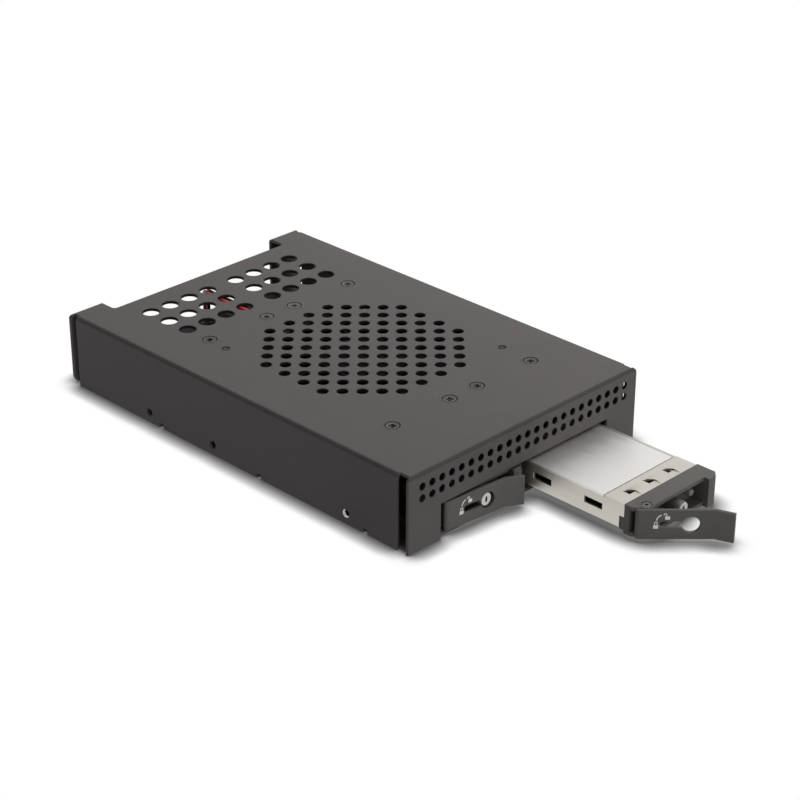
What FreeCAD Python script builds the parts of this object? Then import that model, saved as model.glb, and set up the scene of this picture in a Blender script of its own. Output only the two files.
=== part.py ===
import FreeCAD, Part
import math
import os
import re
import Sketcher

# A two-tray drive rack for a 3.5-inch bay: a folded steel case that holds two
# sliding trays side by side under a 60 mm fan. The left tray is shut and the
# right one stands part way out with its lever open.
# X runs to the right seen from the front, Y to the rear, Z up. The origin is in
# the middle of the underside. Shapes are drawn from the front panel's outer face
# and moved half the case's depth forward when they are placed.

doc = FreeCAD.newDocument("drive_rack")

# Driving dimensions, in millimetres and degrees
SIZES = {
    # folded case
    "case_width": 101.6,
    "case_height": 25.4,
    "case_depth": 157.0,
    "shell_sheet": 1.0,
    "shell_bend": 1.6,
    "front_gap": 3.8,
    "rear_gap": 2.6,
    "ear_width": 13.0,
    "ear_reach": 7.6,
    "ear_round": 1.5,
    "flange_round": 3.0,
    "opening_width": 74.8,
    "opening_height": 12.1,
    # punched holes of the case
    "grille_centre": 70.4,
    "grille_step": 4.3,
    "grille_hole": 4.0,
    "field_margin": 0.8,
    "vent_hole": 2.7,
    "vent_pitch": 4.1,
    "vent_top_row": 20.9,
    "vent_row_gap": 3.84,
    "rear_vent_hole": 6.0,
    "rear_vent_pitch": 8.2,
    "rear_vent_middle": 12.4,
    "rear_vent_inset": 10.5,
    "rear_vent_row_gap": 9.3,
    # screw holes that fix the rack in its bay
    "side_hole_front": 26.0,
    "side_hole_middle": 60.0,
    "side_hole_rear": 31.0,
    "side_hole_height": 3.6,
    "side_thread": 2.9,
    # bottom plate
    "bottom_sheet": 1.0,
    "bottom_gap": 0.1,
    "bottom_front": 1.3,
    "bottom_end": 6.0,
    "hook_width": 5.0,
    "hook_front": 14.5,
    "hook_pitch": 46.6,
    "hook_relief": 2.0,
    "hook_relief_height": 1.7,
    # tray guides
    "bay_pitch": 36.8,
    "cage_sheet": 0.8,
    "cage_bend": 1.2,
    "cage_side_gap": 0.4,
    "cage_roof_gap": 0.5,
    "cage_front": 9.2,
    "cage_length": 107.4,
    "cage_lip": 4.0,
    # screws and standoffs between the guides and the case
    "post_span": 24.6,
    "post_front": 26.6,
    "post_row_gap": 82.9,
    "post_across": 5.0,
    "screw_thread": 2.9,
    "screw_head": 5.6,
    "screw_length": 7.0,
    "screw_fit": 0.05,
    "pin_offset": 13.0,
    "pin_near": 39.4,
    "pin_far": 100.9,
    "pin_across": 2.0,
    "pin_hole": 3.0,
    # fan
    "fan_side": 60.0,
    "fan_height": 10.0,
    "fan_bore": 57.0,
    "fan_hole_span": 50.0,
    "fan_hole": 4.3,
    "fan_corner": 2.5,
    "fan_hub": 29.0,
    "fan_strut": 3.0,
    "fan_base": 1.6,
    "fan_tip_gap": 0.7,
    "fan_running_gap": 0.5,
    "fan_blade": 1.2,
    "fan_blade_margin": 0.4,
    "fan_root_pitch": 50.0,
    "fan_tip_pitch": 35.0,
    "fan_shaft": 3.0,
    "fan_bearing": 0.1,
    "fan_screw_head": 5.6,
    "lead_across": 1.4,
    "lead_side": 2.4,
    "lead_pitch": 1.6,
    "lead_height": 21.5,
    "lead_bend": 3.0,
    # rear circuit board and its connectors
    "board_width": 88.0,
    "board_gap": 1.2,
    "board_length": 31.0,
    "board_sheet": 1.6,
    "board_lift": 2.0,
    "board_post_x": 41.5,
    "board_post_inset": 3.8,
    "board_post_gap": 14.0,
    "board_post_across": 5.0,
    "board_screw_head": 4.4,
    "board_screw_top": 1.2,
    "board_screw": 2.0,
    "socket_width": 26.0,
    "socket_depth": 8.0,
    "socket_height": 4.6,
    "port_width": 16.0,
    "port_depth": 16.0,
    "port_height": 6.0,
    "port_overhang": 1.2,
    "port_wall": 1.2,
    "port_side": 30.0,
    "port_pitch": 17.0,
    "plug_width": 24.0,
    "plug_depth": 11.0,
    "plug_side": 18.0,
    "header_width": 6.0,
    "header_depth": 5.5,
    "header_height": 6.0,
    # trays
    "tray_width": 33.6,
    "tray_length": 107.8,
    "tray_sheet": 0.8,
    "tray_bend": 1.2,
    "tray_lift": 0.2,
    "tray_wall": 8.4,
    "tray_high_wall": 8.9,
    "tray_rim": 2.0,
    "step_height": 4.6,
    "step_depth": 1.8,
    "strip_depth": 7.7,
    "finger_width": 4.4,
    "finger_depth": 3.0,
    "finger_pitch": 9.05,
    "window_first": 8.3,
    "window_length": 7.0,
    "window_pitch": 20.0,
    "window_low": 3.7,
    "window_height": 2.2,
    "cover_sheet": 0.7,
    "cover_slit": 0.5,
    "cover_lip": 3.0,
    "cover_seam": 0.3,
    "pull_out": 45.0,
    # boards in the trays
    "carrier_width": 29.0,
    "carrier_sheet": 1.0,
    "carrier_lift": 2.4,
    "carrier_front": 4.0,
    "carrier_post_across": 5.0,
    "carrier_post_inset": 6.0,
    "tongue_width": 22.0,
    "tongue_length": 5.5,
    "tongue_fit": 0.2,
    "module_width": 22.0,
    "module_depth": 9.0,
    "module_height": 3.2,
    "module_rear": 7.0,
    # moulded tray fronts
    "bezel_back": 8.2,
    "bezel_plate": 1.2,
    "bezel_wall": 1.8,
    "bezel_base_gap": 0.3,
    "bezel_overhang": 0.6,
    "end_post": 5.0,
    "end_post_front": 0.2,
    "end_tab": 0.8,
    "end_tab_depth": 3.0,
    "end_tab_height": 5.0,
    # lever, hinge pin, lock and light pipe
    "pin_inset": 4.4,
    "pin_setback": 3.6,
    "hinge_pin": 1.6,
    "hinge_head": 3.6,
    "hinge_head_depth": 0.6,
    "hinge_fit": 0.08,
    "lobe": 1.9,
    "lever_gap": 0.3,
    "lever_wall": 1.2,
    "lever_top_gap": 0.1,
    "lever_tail": 3.4,
    "lever_reach": 19.8,
    "lever_flare": 5.9,
    "flare_angle": 24.0,
    "lever_knuckle": 2.0,
    "lever_shut": 6.6,
    "lever_open": 45.0,
    "keyhole": 5.4,
    "keyhole_slot": 2.2,
    "keyhole_length": 8.2,
    "lock_head": 4.6,
    "lock_neck": 3.2,
    "lock_front": 0.5,
    "lock_fit": 0.12,
    "lock_cap": 0.8,
    "lock_slot": 0.7,
    "pipe_across": 2.4,
    "pipe_side": 7.6,
    "pipe_front": 2.2,
    "pipe_height": 7.4,
}
GRILLE_REACH = 5
GRILLE_DIAGONAL = 7
VENT_COLUMNS = 23
VENT_ROWS = 2
REAR_VENTS_A_SIDE = 4
REAR_VENT_ROWS = 3
WINDOWS = 3
FINGERS = 3
BLADES = 7
HOOKS = 3
PORTS = 2
# flat sides given to round holes, rods and turned pieces, to keep their facets few
DUCT_SIDES = 24
HUB_SIDES = 12
TURNED_SIDES = 8
SMALL_SIDES = 6
POST_SIDES = 4
# how far a cutting shape runs past the face that it cuts through
PAST = 1
# two places closer than this are the same
NEAR = 0.01

sheet = doc.addObject("Spreadsheet::Sheet", "sizes")
for row, (alias, number) in enumerate(SIZES.items(), 1):
    sheet.set("A%d" % row, alias)
    sheet.set("B%d" % row, str(number))
    sheet.setAlias("B%d" % row, alias)
doc.recompute()

nodes = []


# Helpers that tie shapes to the sheet
def bound(text):
    """Writes the sheet's name before each of its aliases in an expression."""
    return re.sub(r"[a-z_]+", lambda word: "sizes." + word[0] if word[0] in SIZES else word[0], str(text))


def value(text):
    """The number that an expression gives with the sheet as it stands."""
    return float(sheet.evalExpression(bound(text)))


def sketch_on(body, plane, offset):
    """An empty sketch on one of the body's own planes, moved along its normal."""
    sketch = body.newObject("Sketcher::SketchObject", body.Name + "_sketch")
    support = [item for item in body.Origin.OriginFeatures if item.Role == plane][0]
    sketch.AttachmentSupport = [(support, "")]
    sketch.MapMode = "FlatFace"
    sketch.setExpression(".AttachmentOffset.Base.z", bound(offset))
    return sketch


def polygon(body, plane, offset, corners):
    """A closed outline whose corners are held by expressions."""
    sketch = sketch_on(body, plane, offset)
    points = [FreeCAD.Vector(value(a), value(b), 0) for a, b in corners]
    count = len(points)
    for i in range(count):
        sketch.addGeometry(Part.LineSegment(points[i], points[(i + 1) % count]))
    for i in range(count):
        sketch.addConstraint(Sketcher.Constraint("Coincident", i, 2, (i + 1) % count, 1))
    for i, corner in enumerate(corners):
        for kind, text in zip(("DistanceX", "DistanceY"), corner):
            k = sketch.addConstraint(Sketcher.Constraint(kind, -1, 1, i, 1, value(text)))
            sketch.setExpression("Constraints[%d]" % k, bound(text))
    return sketch


def new_body(name):
    return doc.addObject("PartDesign::Body", name)


def pad(body, sketch, length):
    feature = body.newObject("PartDesign::Pad", body.Name + "_pad")
    feature.Profile = sketch
    feature.setExpression("Length", bound(length))
    return feature


def pocket(body, sketch, length):
    feature = body.newObject("PartDesign::Pocket", body.Name + "_pocket")
    feature.Profile = sketch
    feature.setExpression("Length", bound(length))
    return feature


def rectangle(x, y):
    return [(x[0], y[0]), (x[1], y[0]), (x[1], y[1]), (x[0], y[1])]


def add_block(body, x, y, z):
    """Adds material between pairs of planes, drawn on the lower one."""
    pad(body, polygon(body, "XY_Plane", z[0], rectangle(x, y)), f"({z[1]}) - ({z[0]})")
    return body


def cut_block(body, x, y, z):
    """Removes what lies between pairs of planes, drawn on the upper one."""
    pocket(body, polygon(body, "XY_Plane", z[1], rectangle(x, y)), f"({z[1]}) - ({z[0]})")
    return body


def round_edges(body, radius, chosen):
    """Rounds the edges of the body so far whose middle and direction are chosen."""
    doc.recompute()
    base = body.Tip
    names = []
    for i, edge in enumerate(base.Shape.Edges, 1):
        middle = edge.CenterOfMass
        run = edge.Vertexes[-1].Point - edge.Vertexes[0].Point
        if edge.Length > 0 and run.Length > 0 and chosen(middle, run.normalize()):
            names.append("Edge%d" % i)
    feature = body.newObject("PartDesign::Fillet", body.Name + "_round")
    feature.Base = (base, names)
    feature.setExpression("Radius", bound(radius))
    return feature


def near(a, b):
    return abs(a - b) < NEAR


def loose(name, shape):
    """A shape made with Part's own functions, as an object of the document."""
    feature = doc.addObject("Part::Feature", name)
    feature.Shape = shape
    return feature


def ring(centre, direction, radius, sides):
    """A many-sided outline that stands for a circle with few facets."""
    turn = FreeCAD.Rotation(FreeCAD.Vector(0, 0, 1), direction)
    points = []
    for i in range(sides + 1):
        angle = 2 * math.pi * i / sides
        spoke = FreeCAD.Vector(radius * math.cos(angle), radius * math.sin(angle), 0)
        points.append(centre + turn.multVec(spoke))
    return Part.makePolygon(points)


def prism(centre, direction, radius, sides, length):
    """A many-sided rod for a round hole or pin."""
    return Part.Face(ring(centre, direction, radius, sides)).extrude(direction * length)


def running_hole(centre, direction, radius, sides, length):
    """A many-sided hole whose flats lie on the round one, so that a rod can turn in it."""
    return prism(centre, direction, radius / math.cos(math.pi / sides), sides, length)


def punched(name, corners, centres, direction, across, sides):
    """A field of the sheet as a blank and as a plate with its holes, both one sheet thick.

    Each hole's flats lie on the round hole that it stands for.
    """
    outline = Part.makePolygon(corners + corners[:1])
    radius = value(across) / 2 / math.cos(math.pi / sides)
    holes = [ring(c, direction, radius, sides) for c in centres]
    thick = direction * value("shell_sheet")
    blank = Part.Face(outline).extrude(thick)
    plate = Part.makeFace([outline] + holes, "Part::FaceMakerBullseye").extrude(thick)
    return loose(name + "_blank", blank), loose(name + "_plate", plate)


def rods(name, centres, direction, across, length, sides):
    """Many equal rods as one object, for punching holes or for pins."""
    shapes = [prism(c, direction, value(across) / 2, sides, length) for c in centres]
    return loose(name, Part.makeCompound(shapes))


def cut(name, base, tool):
    feature = doc.addObject("Part::Cut", name)
    feature.Base = base
    feature.Tool = tool
    return feature


def fuse(name, pieces):
    feature = doc.addObject("Part::MultiFuse", name)
    feature.Shapes = pieces
    return feature


def node(label, feature, place=("0", "0", "0"), turn=None):
    """Labels a finished piece, puts it in its place and notes it for writing.

    The place is given from the front panel, the origin lies half the case's depth behind it.
    """
    if turn is not None:
        feature.Placement = FreeCAD.Placement(FreeCAD.Vector(), FreeCAD.Vector(0, 0, 1), value(turn))
    from_origin = (place[0], f"{place[1]} - case_depth / 2", place[2])
    for axis, text in zip("xyz", from_origin):
        feature.setExpression(".Placement.Base." + axis, bound(text))
    feature.Label = label
    nodes.append(feature)
    return feature


UP = FreeCAD.Vector(0, 0, 1)
RIGHT = FreeCAD.Vector(1, 0, 0)
BACK = FreeCAD.Vector(0, 1, 0)

# Levels and places that several pieces share
half_width = "case_width / 2"
top_under = "(case_height - shell_sheet)"
wall_front = "(shell_sheet + front_gap)"
wall_rear = "(case_depth - shell_sheet - rear_gap)"
middle_rear = "(case_depth - ear_reach)"
cage_floor = "(bottom_sheet + cage_sheet)"
tray_base = f"({cage_floor} + tray_lift)"
strip_top = f"({tray_base} + tray_wall + cover_sheet)"
cage_roof = f"({strip_top} + cage_roof_gap + cage_sheet)"
cage_half = "(tray_width / 2 + cage_side_gap + cage_sheet)"
cage_rear = "(cage_front + cage_length)"
fan_top = f"({cage_roof} + fan_height)"
board_base = "(bottom_sheet + board_lift)"
board_top = f"({board_base} + board_sheet)"
board_front = "(bezel_back + tray_length + board_gap)"
board_rear = f"({board_front} + board_length)"
carrier_base = f"({tray_base} + tray_sheet + carrier_lift)"
carrier_top = f"({carrier_base} + carrier_sheet)"
tray_front = "bezel_back"
tray_rear = "(bezel_back + tray_length)"
bezel_base = "(bottom_sheet + bezel_base_gap)"
bay_sides = {"left": "-bay_pitch / 2", "right": "bay_pitch / 2"}
post_rows = ["post_front", "post_front + post_row_gap"]
post_columns = [f"{side} {sign} post_span / 2" for side in bay_sides.values() for sign in "-+"]
post_places = [FreeCAD.Vector(value(x), value(y), 0) for x in post_columns for y in post_rows]


# Top shell: one steel sheet, punched and folded down on four sides
shell = new_body("shell_fold")
add_block(shell, ("-" + half_width, half_width), ("0", "case_depth"), ("0", "case_height"))
fold_top = value("case_height")
round_edges(shell, "shell_bend", lambda p, run: near(p.z, fold_top))
inside_x = (f"-{half_width} + shell_sheet", f"{half_width} - shell_sheet")
cut_block(shell, inside_x, ("shell_sheet", "case_depth - shell_sheet"), ("0", top_under))
# the corners are open: the walls stop short of the front panel and the rear flanges
bend_line = f"{half_width} - shell_bend"
full_height = ("0", f"case_height + {PAST}")
for ends in ((f"-{half_width} - {PAST}", f"-({bend_line})"), (bend_line, f"{half_width} + {PAST}")):
    cut_block(shell, ends, ("shell_sheet", wall_front), full_height)
    cut_block(shell, ends, (wall_rear, "case_depth - shell_sheet"), full_height)
# rear: two ears stand past the middle, each with a flange folded down
ear_inner = "(case_width / 2 - ear_width)"
cut_block(shell, ("-" + ear_inner, ear_inner), (middle_rear, f"case_depth + {PAST}"), full_height)
ear_x = value(ear_inner)
ear_y = value(middle_rear)


def ear_corner(p, run):
    return abs(run.z) > 0.9 and near(abs(p.x), ear_x) and near(p.y, ear_y)


round_edges(shell, "ear_round", ear_corner)
flange_x = value(half_width)
flange_y = value("case_depth - shell_sheet / 2")


def flange_corner(p, run):
    return abs(run.y) > 0.9 and near(abs(p.x), flange_x) and near(p.z, 0) and near(p.y, flange_y)


round_edges(shell, "flange_round", flange_corner)
# front: one wide opening for both trays, open to the bottom edge
opening_half = "opening_width / 2"
panel_through = (f"-{PAST}", f"shell_sheet + {PAST}")
cut_block(shell, ("-" + opening_half, opening_half), panel_through, ("0", "opening_height"))
# lower edge of the walls: raised over the ends of the bottom plate, notched for its hooks, with
# a relief behind each notch
wall_span = (f"-{half_width} - {PAST}", f"{half_width} + {PAST}")
foot = "(bottom_sheet + bottom_gap)"
front_end = "(bottom_front + bottom_end)"
rear_end = f"({wall_rear} - bottom_end)"
cut_block(shell, wall_span, (wall_front, f"{front_end} + bottom_gap"), ("0", foot))
cut_block(shell, wall_span, (f"{rear_end} - bottom_gap", wall_rear), ("0", foot))
hooks = [f"(hook_front + {i} * hook_pitch)" for i in range(HOOKS)]
for y in hooks:
    notch = (f"{y} - hook_width / 2 - bottom_gap", f"{y} + hook_width / 2 + bottom_gap")
    cut_block(shell, wall_span, notch, ("0", foot))
    relief = (f"{y} + hook_width / 2", f"{y} + hook_width / 2 + hook_relief")
    cut_block(shell, wall_span, relief, ("0", "hook_relief_height"))

# Perforated fields of the shell: a grille over the fan, vents in front and at the rear
step = value("grille_step")
under = value(top_under)
grille = []
for i in range(-GRILLE_REACH, GRILLE_REACH + 1):
    for j in range(-GRILLE_REACH, GRILLE_REACH + 1):
        if abs(i) + abs(j) <= GRILLE_DIAGONAL:
            y = value("grille_centre") - (i + j) * step
            grille.append(FreeCAD.Vector((i - j) * step, y, under))
field_reach = GRILLE_DIAGONAL * step + value("grille_hole / 2 + field_margin")
field_diagonal = 2 * GRILLE_REACH * step + value("grille_hole / 2 + field_margin") * math.sqrt(2)
field_cut = field_diagonal - field_reach
octagon = []
for a, b in ((1, 0), (0, 1), (-1, 0), (0, -1)):
    for c in (-field_cut, field_cut):
        x = a * field_reach - b * c
        y = b * field_reach + a * c
        octagon.append(FreeCAD.Vector(x, value("grille_centre") + y, under))
grille_field = punched("grille", octagon, grille, UP, "grille_hole", SMALL_SIDES)
vents = []
for row in range(VENT_ROWS):
    for column in range(VENT_COLUMNS):
        x = (column - (VENT_COLUMNS - 1) / 2) * value("vent_pitch")
        vents.append(FreeCAD.Vector(x, 0, value(f"vent_top_row - {row} * vent_row_gap")))
vent_x = value("vent_hole / 2 + field_margin") + vents[VENT_COLUMNS - 1].x
vent_high = value("vent_top_row + vent_hole / 2 + field_margin")
vent_low = vents[-1].z - value("vent_hole / 2 + field_margin")
vent_corners = [(-vent_x, vent_low), (vent_x, vent_low), (vent_x, vent_high), (-vent_x, vent_high)]
vent_outline = [FreeCAD.Vector(x, 0, z) for x, z in vent_corners]
vent_field = punched("vent", vent_outline, vents, BACK, "vent_hole", SMALL_SIDES)
rear_vents = []
for row in range(REAR_VENT_ROWS):
    for column in range(REAR_VENTS_A_SIDE):
        x = value(f"rear_vent_middle / 2 + {column} * rear_vent_pitch")
        y = value(f"{middle_rear} - rear_vent_inset - {row} * rear_vent_row_gap")
        for side in (-1, 1):
            rear_vents.append(FreeCAD.Vector(side * x, y, under))
rear_margin = value("rear_vent_hole / 2 + field_margin")
rear_x = rear_vents[-1].x + rear_margin
rear_y = (rear_vents[-1].y - rear_margin, rear_vents[0].y + rear_margin)
rear_corners = [(-rear_x, rear_y[0]), (rear_x, rear_y[0]), (rear_x, rear_y[1]), (-rear_x, rear_y[1])]
rear_outline = [FreeCAD.Vector(x, y, under) for x, y in rear_corners]
rear_field = punched("rear_vent", rear_outline, rear_vents, UP, "rear_vent_hole", SMALL_SIDES)

# Single holes of the shell
through = value("shell_sheet") + 2 * PAST
across_case = value("case_width") + 2 * PAST
side_places = ["side_hole_front", "side_hole_front + side_hole_middle"]
side_places.append("side_hole_front + side_hole_middle + side_hole_rear")
side_points = []
for y in side_places:
    side_points.append(FreeCAD.Vector(-value(half_width) - PAST, value(y), value("side_hole_height")))
taps = [Part.makeCylinder(value("side_thread / 2"), across_case, p, RIGHT) for p in side_points]
side_holes = loose("side_holes", Part.makeCompound(taps))
pin_places = [
    FreeCAD.Vector(value("-bay_pitch / 2 - pin_offset"), value("pin_far"), 0),
    FreeCAD.Vector(value("bay_pitch / 2 + pin_offset"), value("pin_near"), 0),
]
pin_tops = [p + UP * (value(top_under) - PAST) for p in pin_places]
pin_holes = rods("pin_holes", pin_tops, UP, "pin_hole", through, SMALL_SIDES)


def screw_profile(head, thread):
    """A thin countersunk screw's half outline: flat head, a cone as deep as the sheet, and shank."""
    low = "case_height - screw_length"
    return [
        ("0", "case_height"), (f"{head} / 2", "case_height"), (f"{thread} / 2", top_under),
        (f"{thread} / 2", low), ("0", low),
    ]


def many_sided(profile, sides):
    """The solid that turns a half outline about Z in a few flat steps."""
    outline = [FreeCAD.Vector(value(r), 0, value(z)) for r, z in profile]
    rings = []
    for point in outline:
        ring = []
        for i in range(sides + 1):
            angle = 2 * math.pi * i / sides
            ring.append(FreeCAD.Vector(point.x * math.cos(angle), point.x * math.sin(angle), point.z))
        rings.append(ring)
    faces = []
    for upper, lower in zip(rings, rings[1:]):
        for i in range(sides):
            corners = [upper[i], upper[i + 1], lower[i + 1], lower[i]]
            kept = [c for k, c in enumerate(corners) if (c - corners[k - 1]).Length > 1e-6]
            if len(kept) > 2:
                faces.append(Part.Face(Part.makePolygon(kept + kept[:1])))
    return Part.makeSolid(Part.makeShell(faces))


def copies(name, shape, places):
    """Equal separate solids of one shape, one at each place."""
    made = []
    for place in places:
        solid = shape.copy()
        solid.translate(place)
        made.append(solid)
    return loose(name, Part.makeCompound(made))


sink_profile = screw_profile("(screw_head + 2 * screw_fit)", "(screw_thread + 2 * screw_fit)")
sinks = copies("screw_sinks", many_sided(sink_profile, SMALL_SIDES), post_places)
opened = shell
fields = (grille_field, vent_field, rear_field)
for tool in [side_holes, pin_holes, sinks] + [field[0] for field in fields]:
    opened = cut(tool.Name + "_cut", opened, tool)
node("top_shell", fuse("shell_whole", [opened] + [field[1] for field in fields]))

# Cover screws: eight countersunk screws, four into each tray guide
screw = many_sided(screw_profile("screw_head", "screw_thread"), SMALL_SIDES)
node("cover_screws", copies("screws", screw, post_places))

# Bottom plate: a flat sheet whose tabs sit in notches of the shell's walls
bottom = new_body("bottom_plate")
bottom_half = "(case_width / 2 - shell_sheet - bottom_gap)"
tabs = [(wall_front, front_end)]
for y in hooks:
    tabs.append((f"({y} - hook_width / 2)", f"({y} + hook_width / 2)"))
tabs.append((rear_end, wall_rear))
right_edge = [(bottom_half, "bottom_front")]
for start, end in tabs:
    right_edge += [(bottom_half, start), (half_width, start), (half_width, end), (bottom_half, end)]
right_edge.pop()
left_edge = [("-" + x, y) for x, y in reversed(right_edge)]
pad(bottom, polygon(bottom, "XY_Plane", "0", right_edge + left_edge), "bottom_sheet")
node("bottom_plate", bottom)

# Tray guides: plated steel channels, each screwed up under the shell by four posts
fan_screw_x = "fan_hole_span / 2"
fan_screw_rows = ["grille_centre - fan_hole_span / 2", "grille_centre + fan_hole_span / 2"]
fan_screws = []
for sign in (-1, 1):
    for y in fan_screw_rows:
        fan_screws.append(FreeCAD.Vector(sign * value(fan_screw_x), value(y), 0))
roof_under = f"({cage_roof} - cage_sheet)"
roof_level = UP * (value(roof_under) - PAST)
roof_through = value("cage_sheet") + 2 * PAST
roof_places = [p + roof_level for p in fan_screws]
fan_taps = rods("fan_taps", roof_places, UP, "(screw_thread + 2 * screw_fit)", roof_through, SMALL_SIDES)
# each fold of a guide is one flat that touches the bend's circle
fold = "cage_bend * (2 - sqrt(2))"
for hand, centre in bay_sides.items():
    cage = new_body(hand + "_channel")
    outer = (f"{centre} - {cage_half}", f"{centre} + {cage_half}")
    inner = (f"{centre} - {cage_half} + cage_sheet", f"{centre} + {cage_half} - cage_sheet")
    slot = (f"{centre} - {cage_half} + cage_lip", f"{centre} + {cage_half} - cage_lip")
    section = [
        (f"{outer[0]} + {fold}", "bottom_sheet"), (slot[0], "bottom_sheet"), (slot[0], cage_floor),
        (inner[0], cage_floor), (inner[0], roof_under), (inner[1], roof_under), (inner[1], cage_floor),
        (slot[1], cage_floor), (slot[1], "bottom_sheet"), (f"{outer[1]} - {fold}", "bottom_sheet"),
        (outer[1], f"bottom_sheet + {fold}"), (outer[1], f"{cage_roof} - {fold}"),
        (f"{outer[1]} - {fold}", cage_roof), (f"{outer[0]} + {fold}", cage_roof),
        (outer[0], f"{cage_roof} - {fold}"), (outer[0], f"bottom_sheet + {fold}"),
    ]
    pad(cage, polygon(cage, "XZ_Plane", f"-({cage_rear})", section), "cage_length")
    node(hand + "_cage", cut(hand + "_channel_tapped", cage, fan_taps))

# Standoffs welded on the guides' roofs, and the two pins that locate the shell
post_height = value(f"{top_under} - {cage_roof}")
post_body = prism(UP * value(cage_roof), UP, value("post_across") / 2, SMALL_SIDES, post_height)
bore_low = UP * value("case_height - screw_length - shell_sheet")
post_bore = prism(bore_low, UP, value("screw_thread / 2 + screw_fit"), SMALL_SIDES, value("screw_length"))
node("cage_standoffs", copies("standoffs", post_body.cut(post_bore), post_places))
pin_length = value(f"case_height - screw_fit - {cage_roof}")
locating = prism(UP * value(cage_roof), UP, value("pin_across") / 2, SMALL_SIDES, pin_length)
node("locating_pins", copies("pins", locating, pin_places))

# Fan frame: a moulded square with a round duct, four screw holes and a hub on struts
fan_middle = FreeCAD.Vector(0, 0, value(cage_roof))
fan_half = value("fan_side / 2")
fan_cut = fan_half - value("fan_corner")
fan_outline = []
for a, b in ((1, 0), (0, 1), (-1, 0), (0, -1)):
    for c in (-fan_cut, fan_cut):
        fan_outline.append(fan_middle + FreeCAD.Vector(a * fan_half - b * c, b * fan_half + a * c, 0))
duct = ring(fan_middle, UP, value("fan_bore / 2"), DUCT_SIDES)
corner_shift = fan_middle - BACK * value("grille_centre")
corner_holes = [ring(p + corner_shift, UP, value("fan_hole / 2"), SMALL_SIDES) for p in fan_screws]
fan_plan = [Part.makePolygon(fan_outline + fan_outline[:1]), duct] + corner_holes
fan_duct = Part.makeFace(fan_plan, "Part::FaceMakerBullseye").extrude(UP * value("fan_height"))
hub_plate = prism(fan_middle, UP, value("fan_hub / 2"), HUB_SIDES, value("fan_base"))
tube_radius = value("fan_shaft / 2 + fan_base")
bearing_tube = prism(fan_middle, UP, tube_radius, TURNED_SIDES, value("fan_height / 2"))
struts = []
for quarter in range(4):
    strut = Part.makeBox(value("fan_bore / 2"), value("fan_strut"), value("fan_base"))
    strut.translate(fan_middle - BACK * value("fan_strut / 2"))
    strut.rotate(fan_middle, UP, 45 + 90 * quarter)
    struts.append(strut)
spider = hub_plate.multiFuse([bearing_tube] + struts)
bearing_radius = value("fan_shaft / 2 + fan_bearing")
bearing_bore = running_hole(fan_middle - UP * PAST, UP, bearing_radius, TURNED_SIDES, value("fan_height"))
fan_pieces = [loose("fan_duct", fan_duct), loose("fan_spider", spider.cut(bearing_bore))]
node("fan_frame", fuse("fan_whole", fan_pieces), ("0", "grille_centre", "0"))

# Fan rotor: a cup on a shaft with curved blades
rotor_low = f"({cage_roof} + fan_base + fan_running_gap)"
rotor_high = f"({fan_top} - fan_running_gap)"
cup_wall = "fan_base"
cup_profile = [
    ("0", rotor_high), ("fan_hub / 2", rotor_high), ("fan_hub / 2", rotor_low),
    (f"fan_hub / 2 - {cup_wall}", rotor_low), (f"fan_hub / 2 - {cup_wall}", f"{rotor_high} - {cup_wall}"),
    ("fan_shaft / 2", f"{rotor_high} - {cup_wall}"), ("fan_shaft / 2", rotor_low), ("0", rotor_low),
]
cup = loose("rotor_cup", many_sided(cup_profile, HUB_SIDES))


def blade_section(radius, pitch, thick):
    """A blade's slanted cross-section, flat, with its corners inside one radius."""
    rise = value(f"({rotor_high} - {rotor_low})") / 2 - value("fan_blade_margin")
    sweep = rise / math.tan(math.radians(pitch))
    middle = value(f"({rotor_high} + {rotor_low})") / 2
    out = math.sqrt(radius ** 2 - (sweep + thick / 2) ** 2)
    corners = []
    for along, across in ((-1, -1), (1, -1), (1, 1), (-1, 1)):
        corners.append(FreeCAD.Vector(out, along * sweep + across * thick / 2, middle + along * rise))
    return corners


def flat_face(*corners):
    return Part.Face(Part.makePolygon(list(corners) + [corners[0]]))


def twisted(start, end):
    """A solid between two outlines, with two flat triangles for each of its twisted sides.

    Opposite sides are split the same way, so that the solid keeps its thickness.
    """
    count = len(start)
    faces = [flat_face(*start), flat_face(*end)]
    for i in range(count):
        a, b, c, d = start[i - 1], start[i], end[i], end[i - 1]
        if i < count // 2:
            faces += [flat_face(a, b, c), flat_face(a, c, d)]
        else:
            faces += [flat_face(a, b, d), flat_face(b, c, d)]
    return Part.makeSolid(Part.makeShell(faces))


root = blade_section(value("fan_hub / 2 - fan_blade / 2"), value("fan_root_pitch"), value("fan_blade"))
tip = blade_section(value("fan_bore / 2 - fan_tip_gap"), value("fan_tip_pitch"), value("fan_blade"))
blade = twisted(root, tip)
blades = []
for i in range(BLADES):
    turned = blade.copy()
    turned.rotate(FreeCAD.Vector(), UP, 360 * i / BLADES)
    blades.append(loose("blade_%d" % i, turned))
node("fan_rotor", fuse("rotor", [cup] + blades), ("0", "grille_centre", "0"))

# Fan screws: pan heads on the frame's corners, held in the guides' roofs
fan_screw_profile = [
    ("0", f"{fan_top} + fan_base"), ("fan_screw_head / 2", f"{fan_top} + fan_base"),
    ("fan_screw_head / 2", fan_top), ("screw_thread / 2", fan_top),
    ("screw_thread / 2", roof_under), ("0", roof_under),
]
node("fan_screws", copies("fan_fixings", many_sided(fan_screw_profile, SMALL_SIDES), fan_screws))

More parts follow.
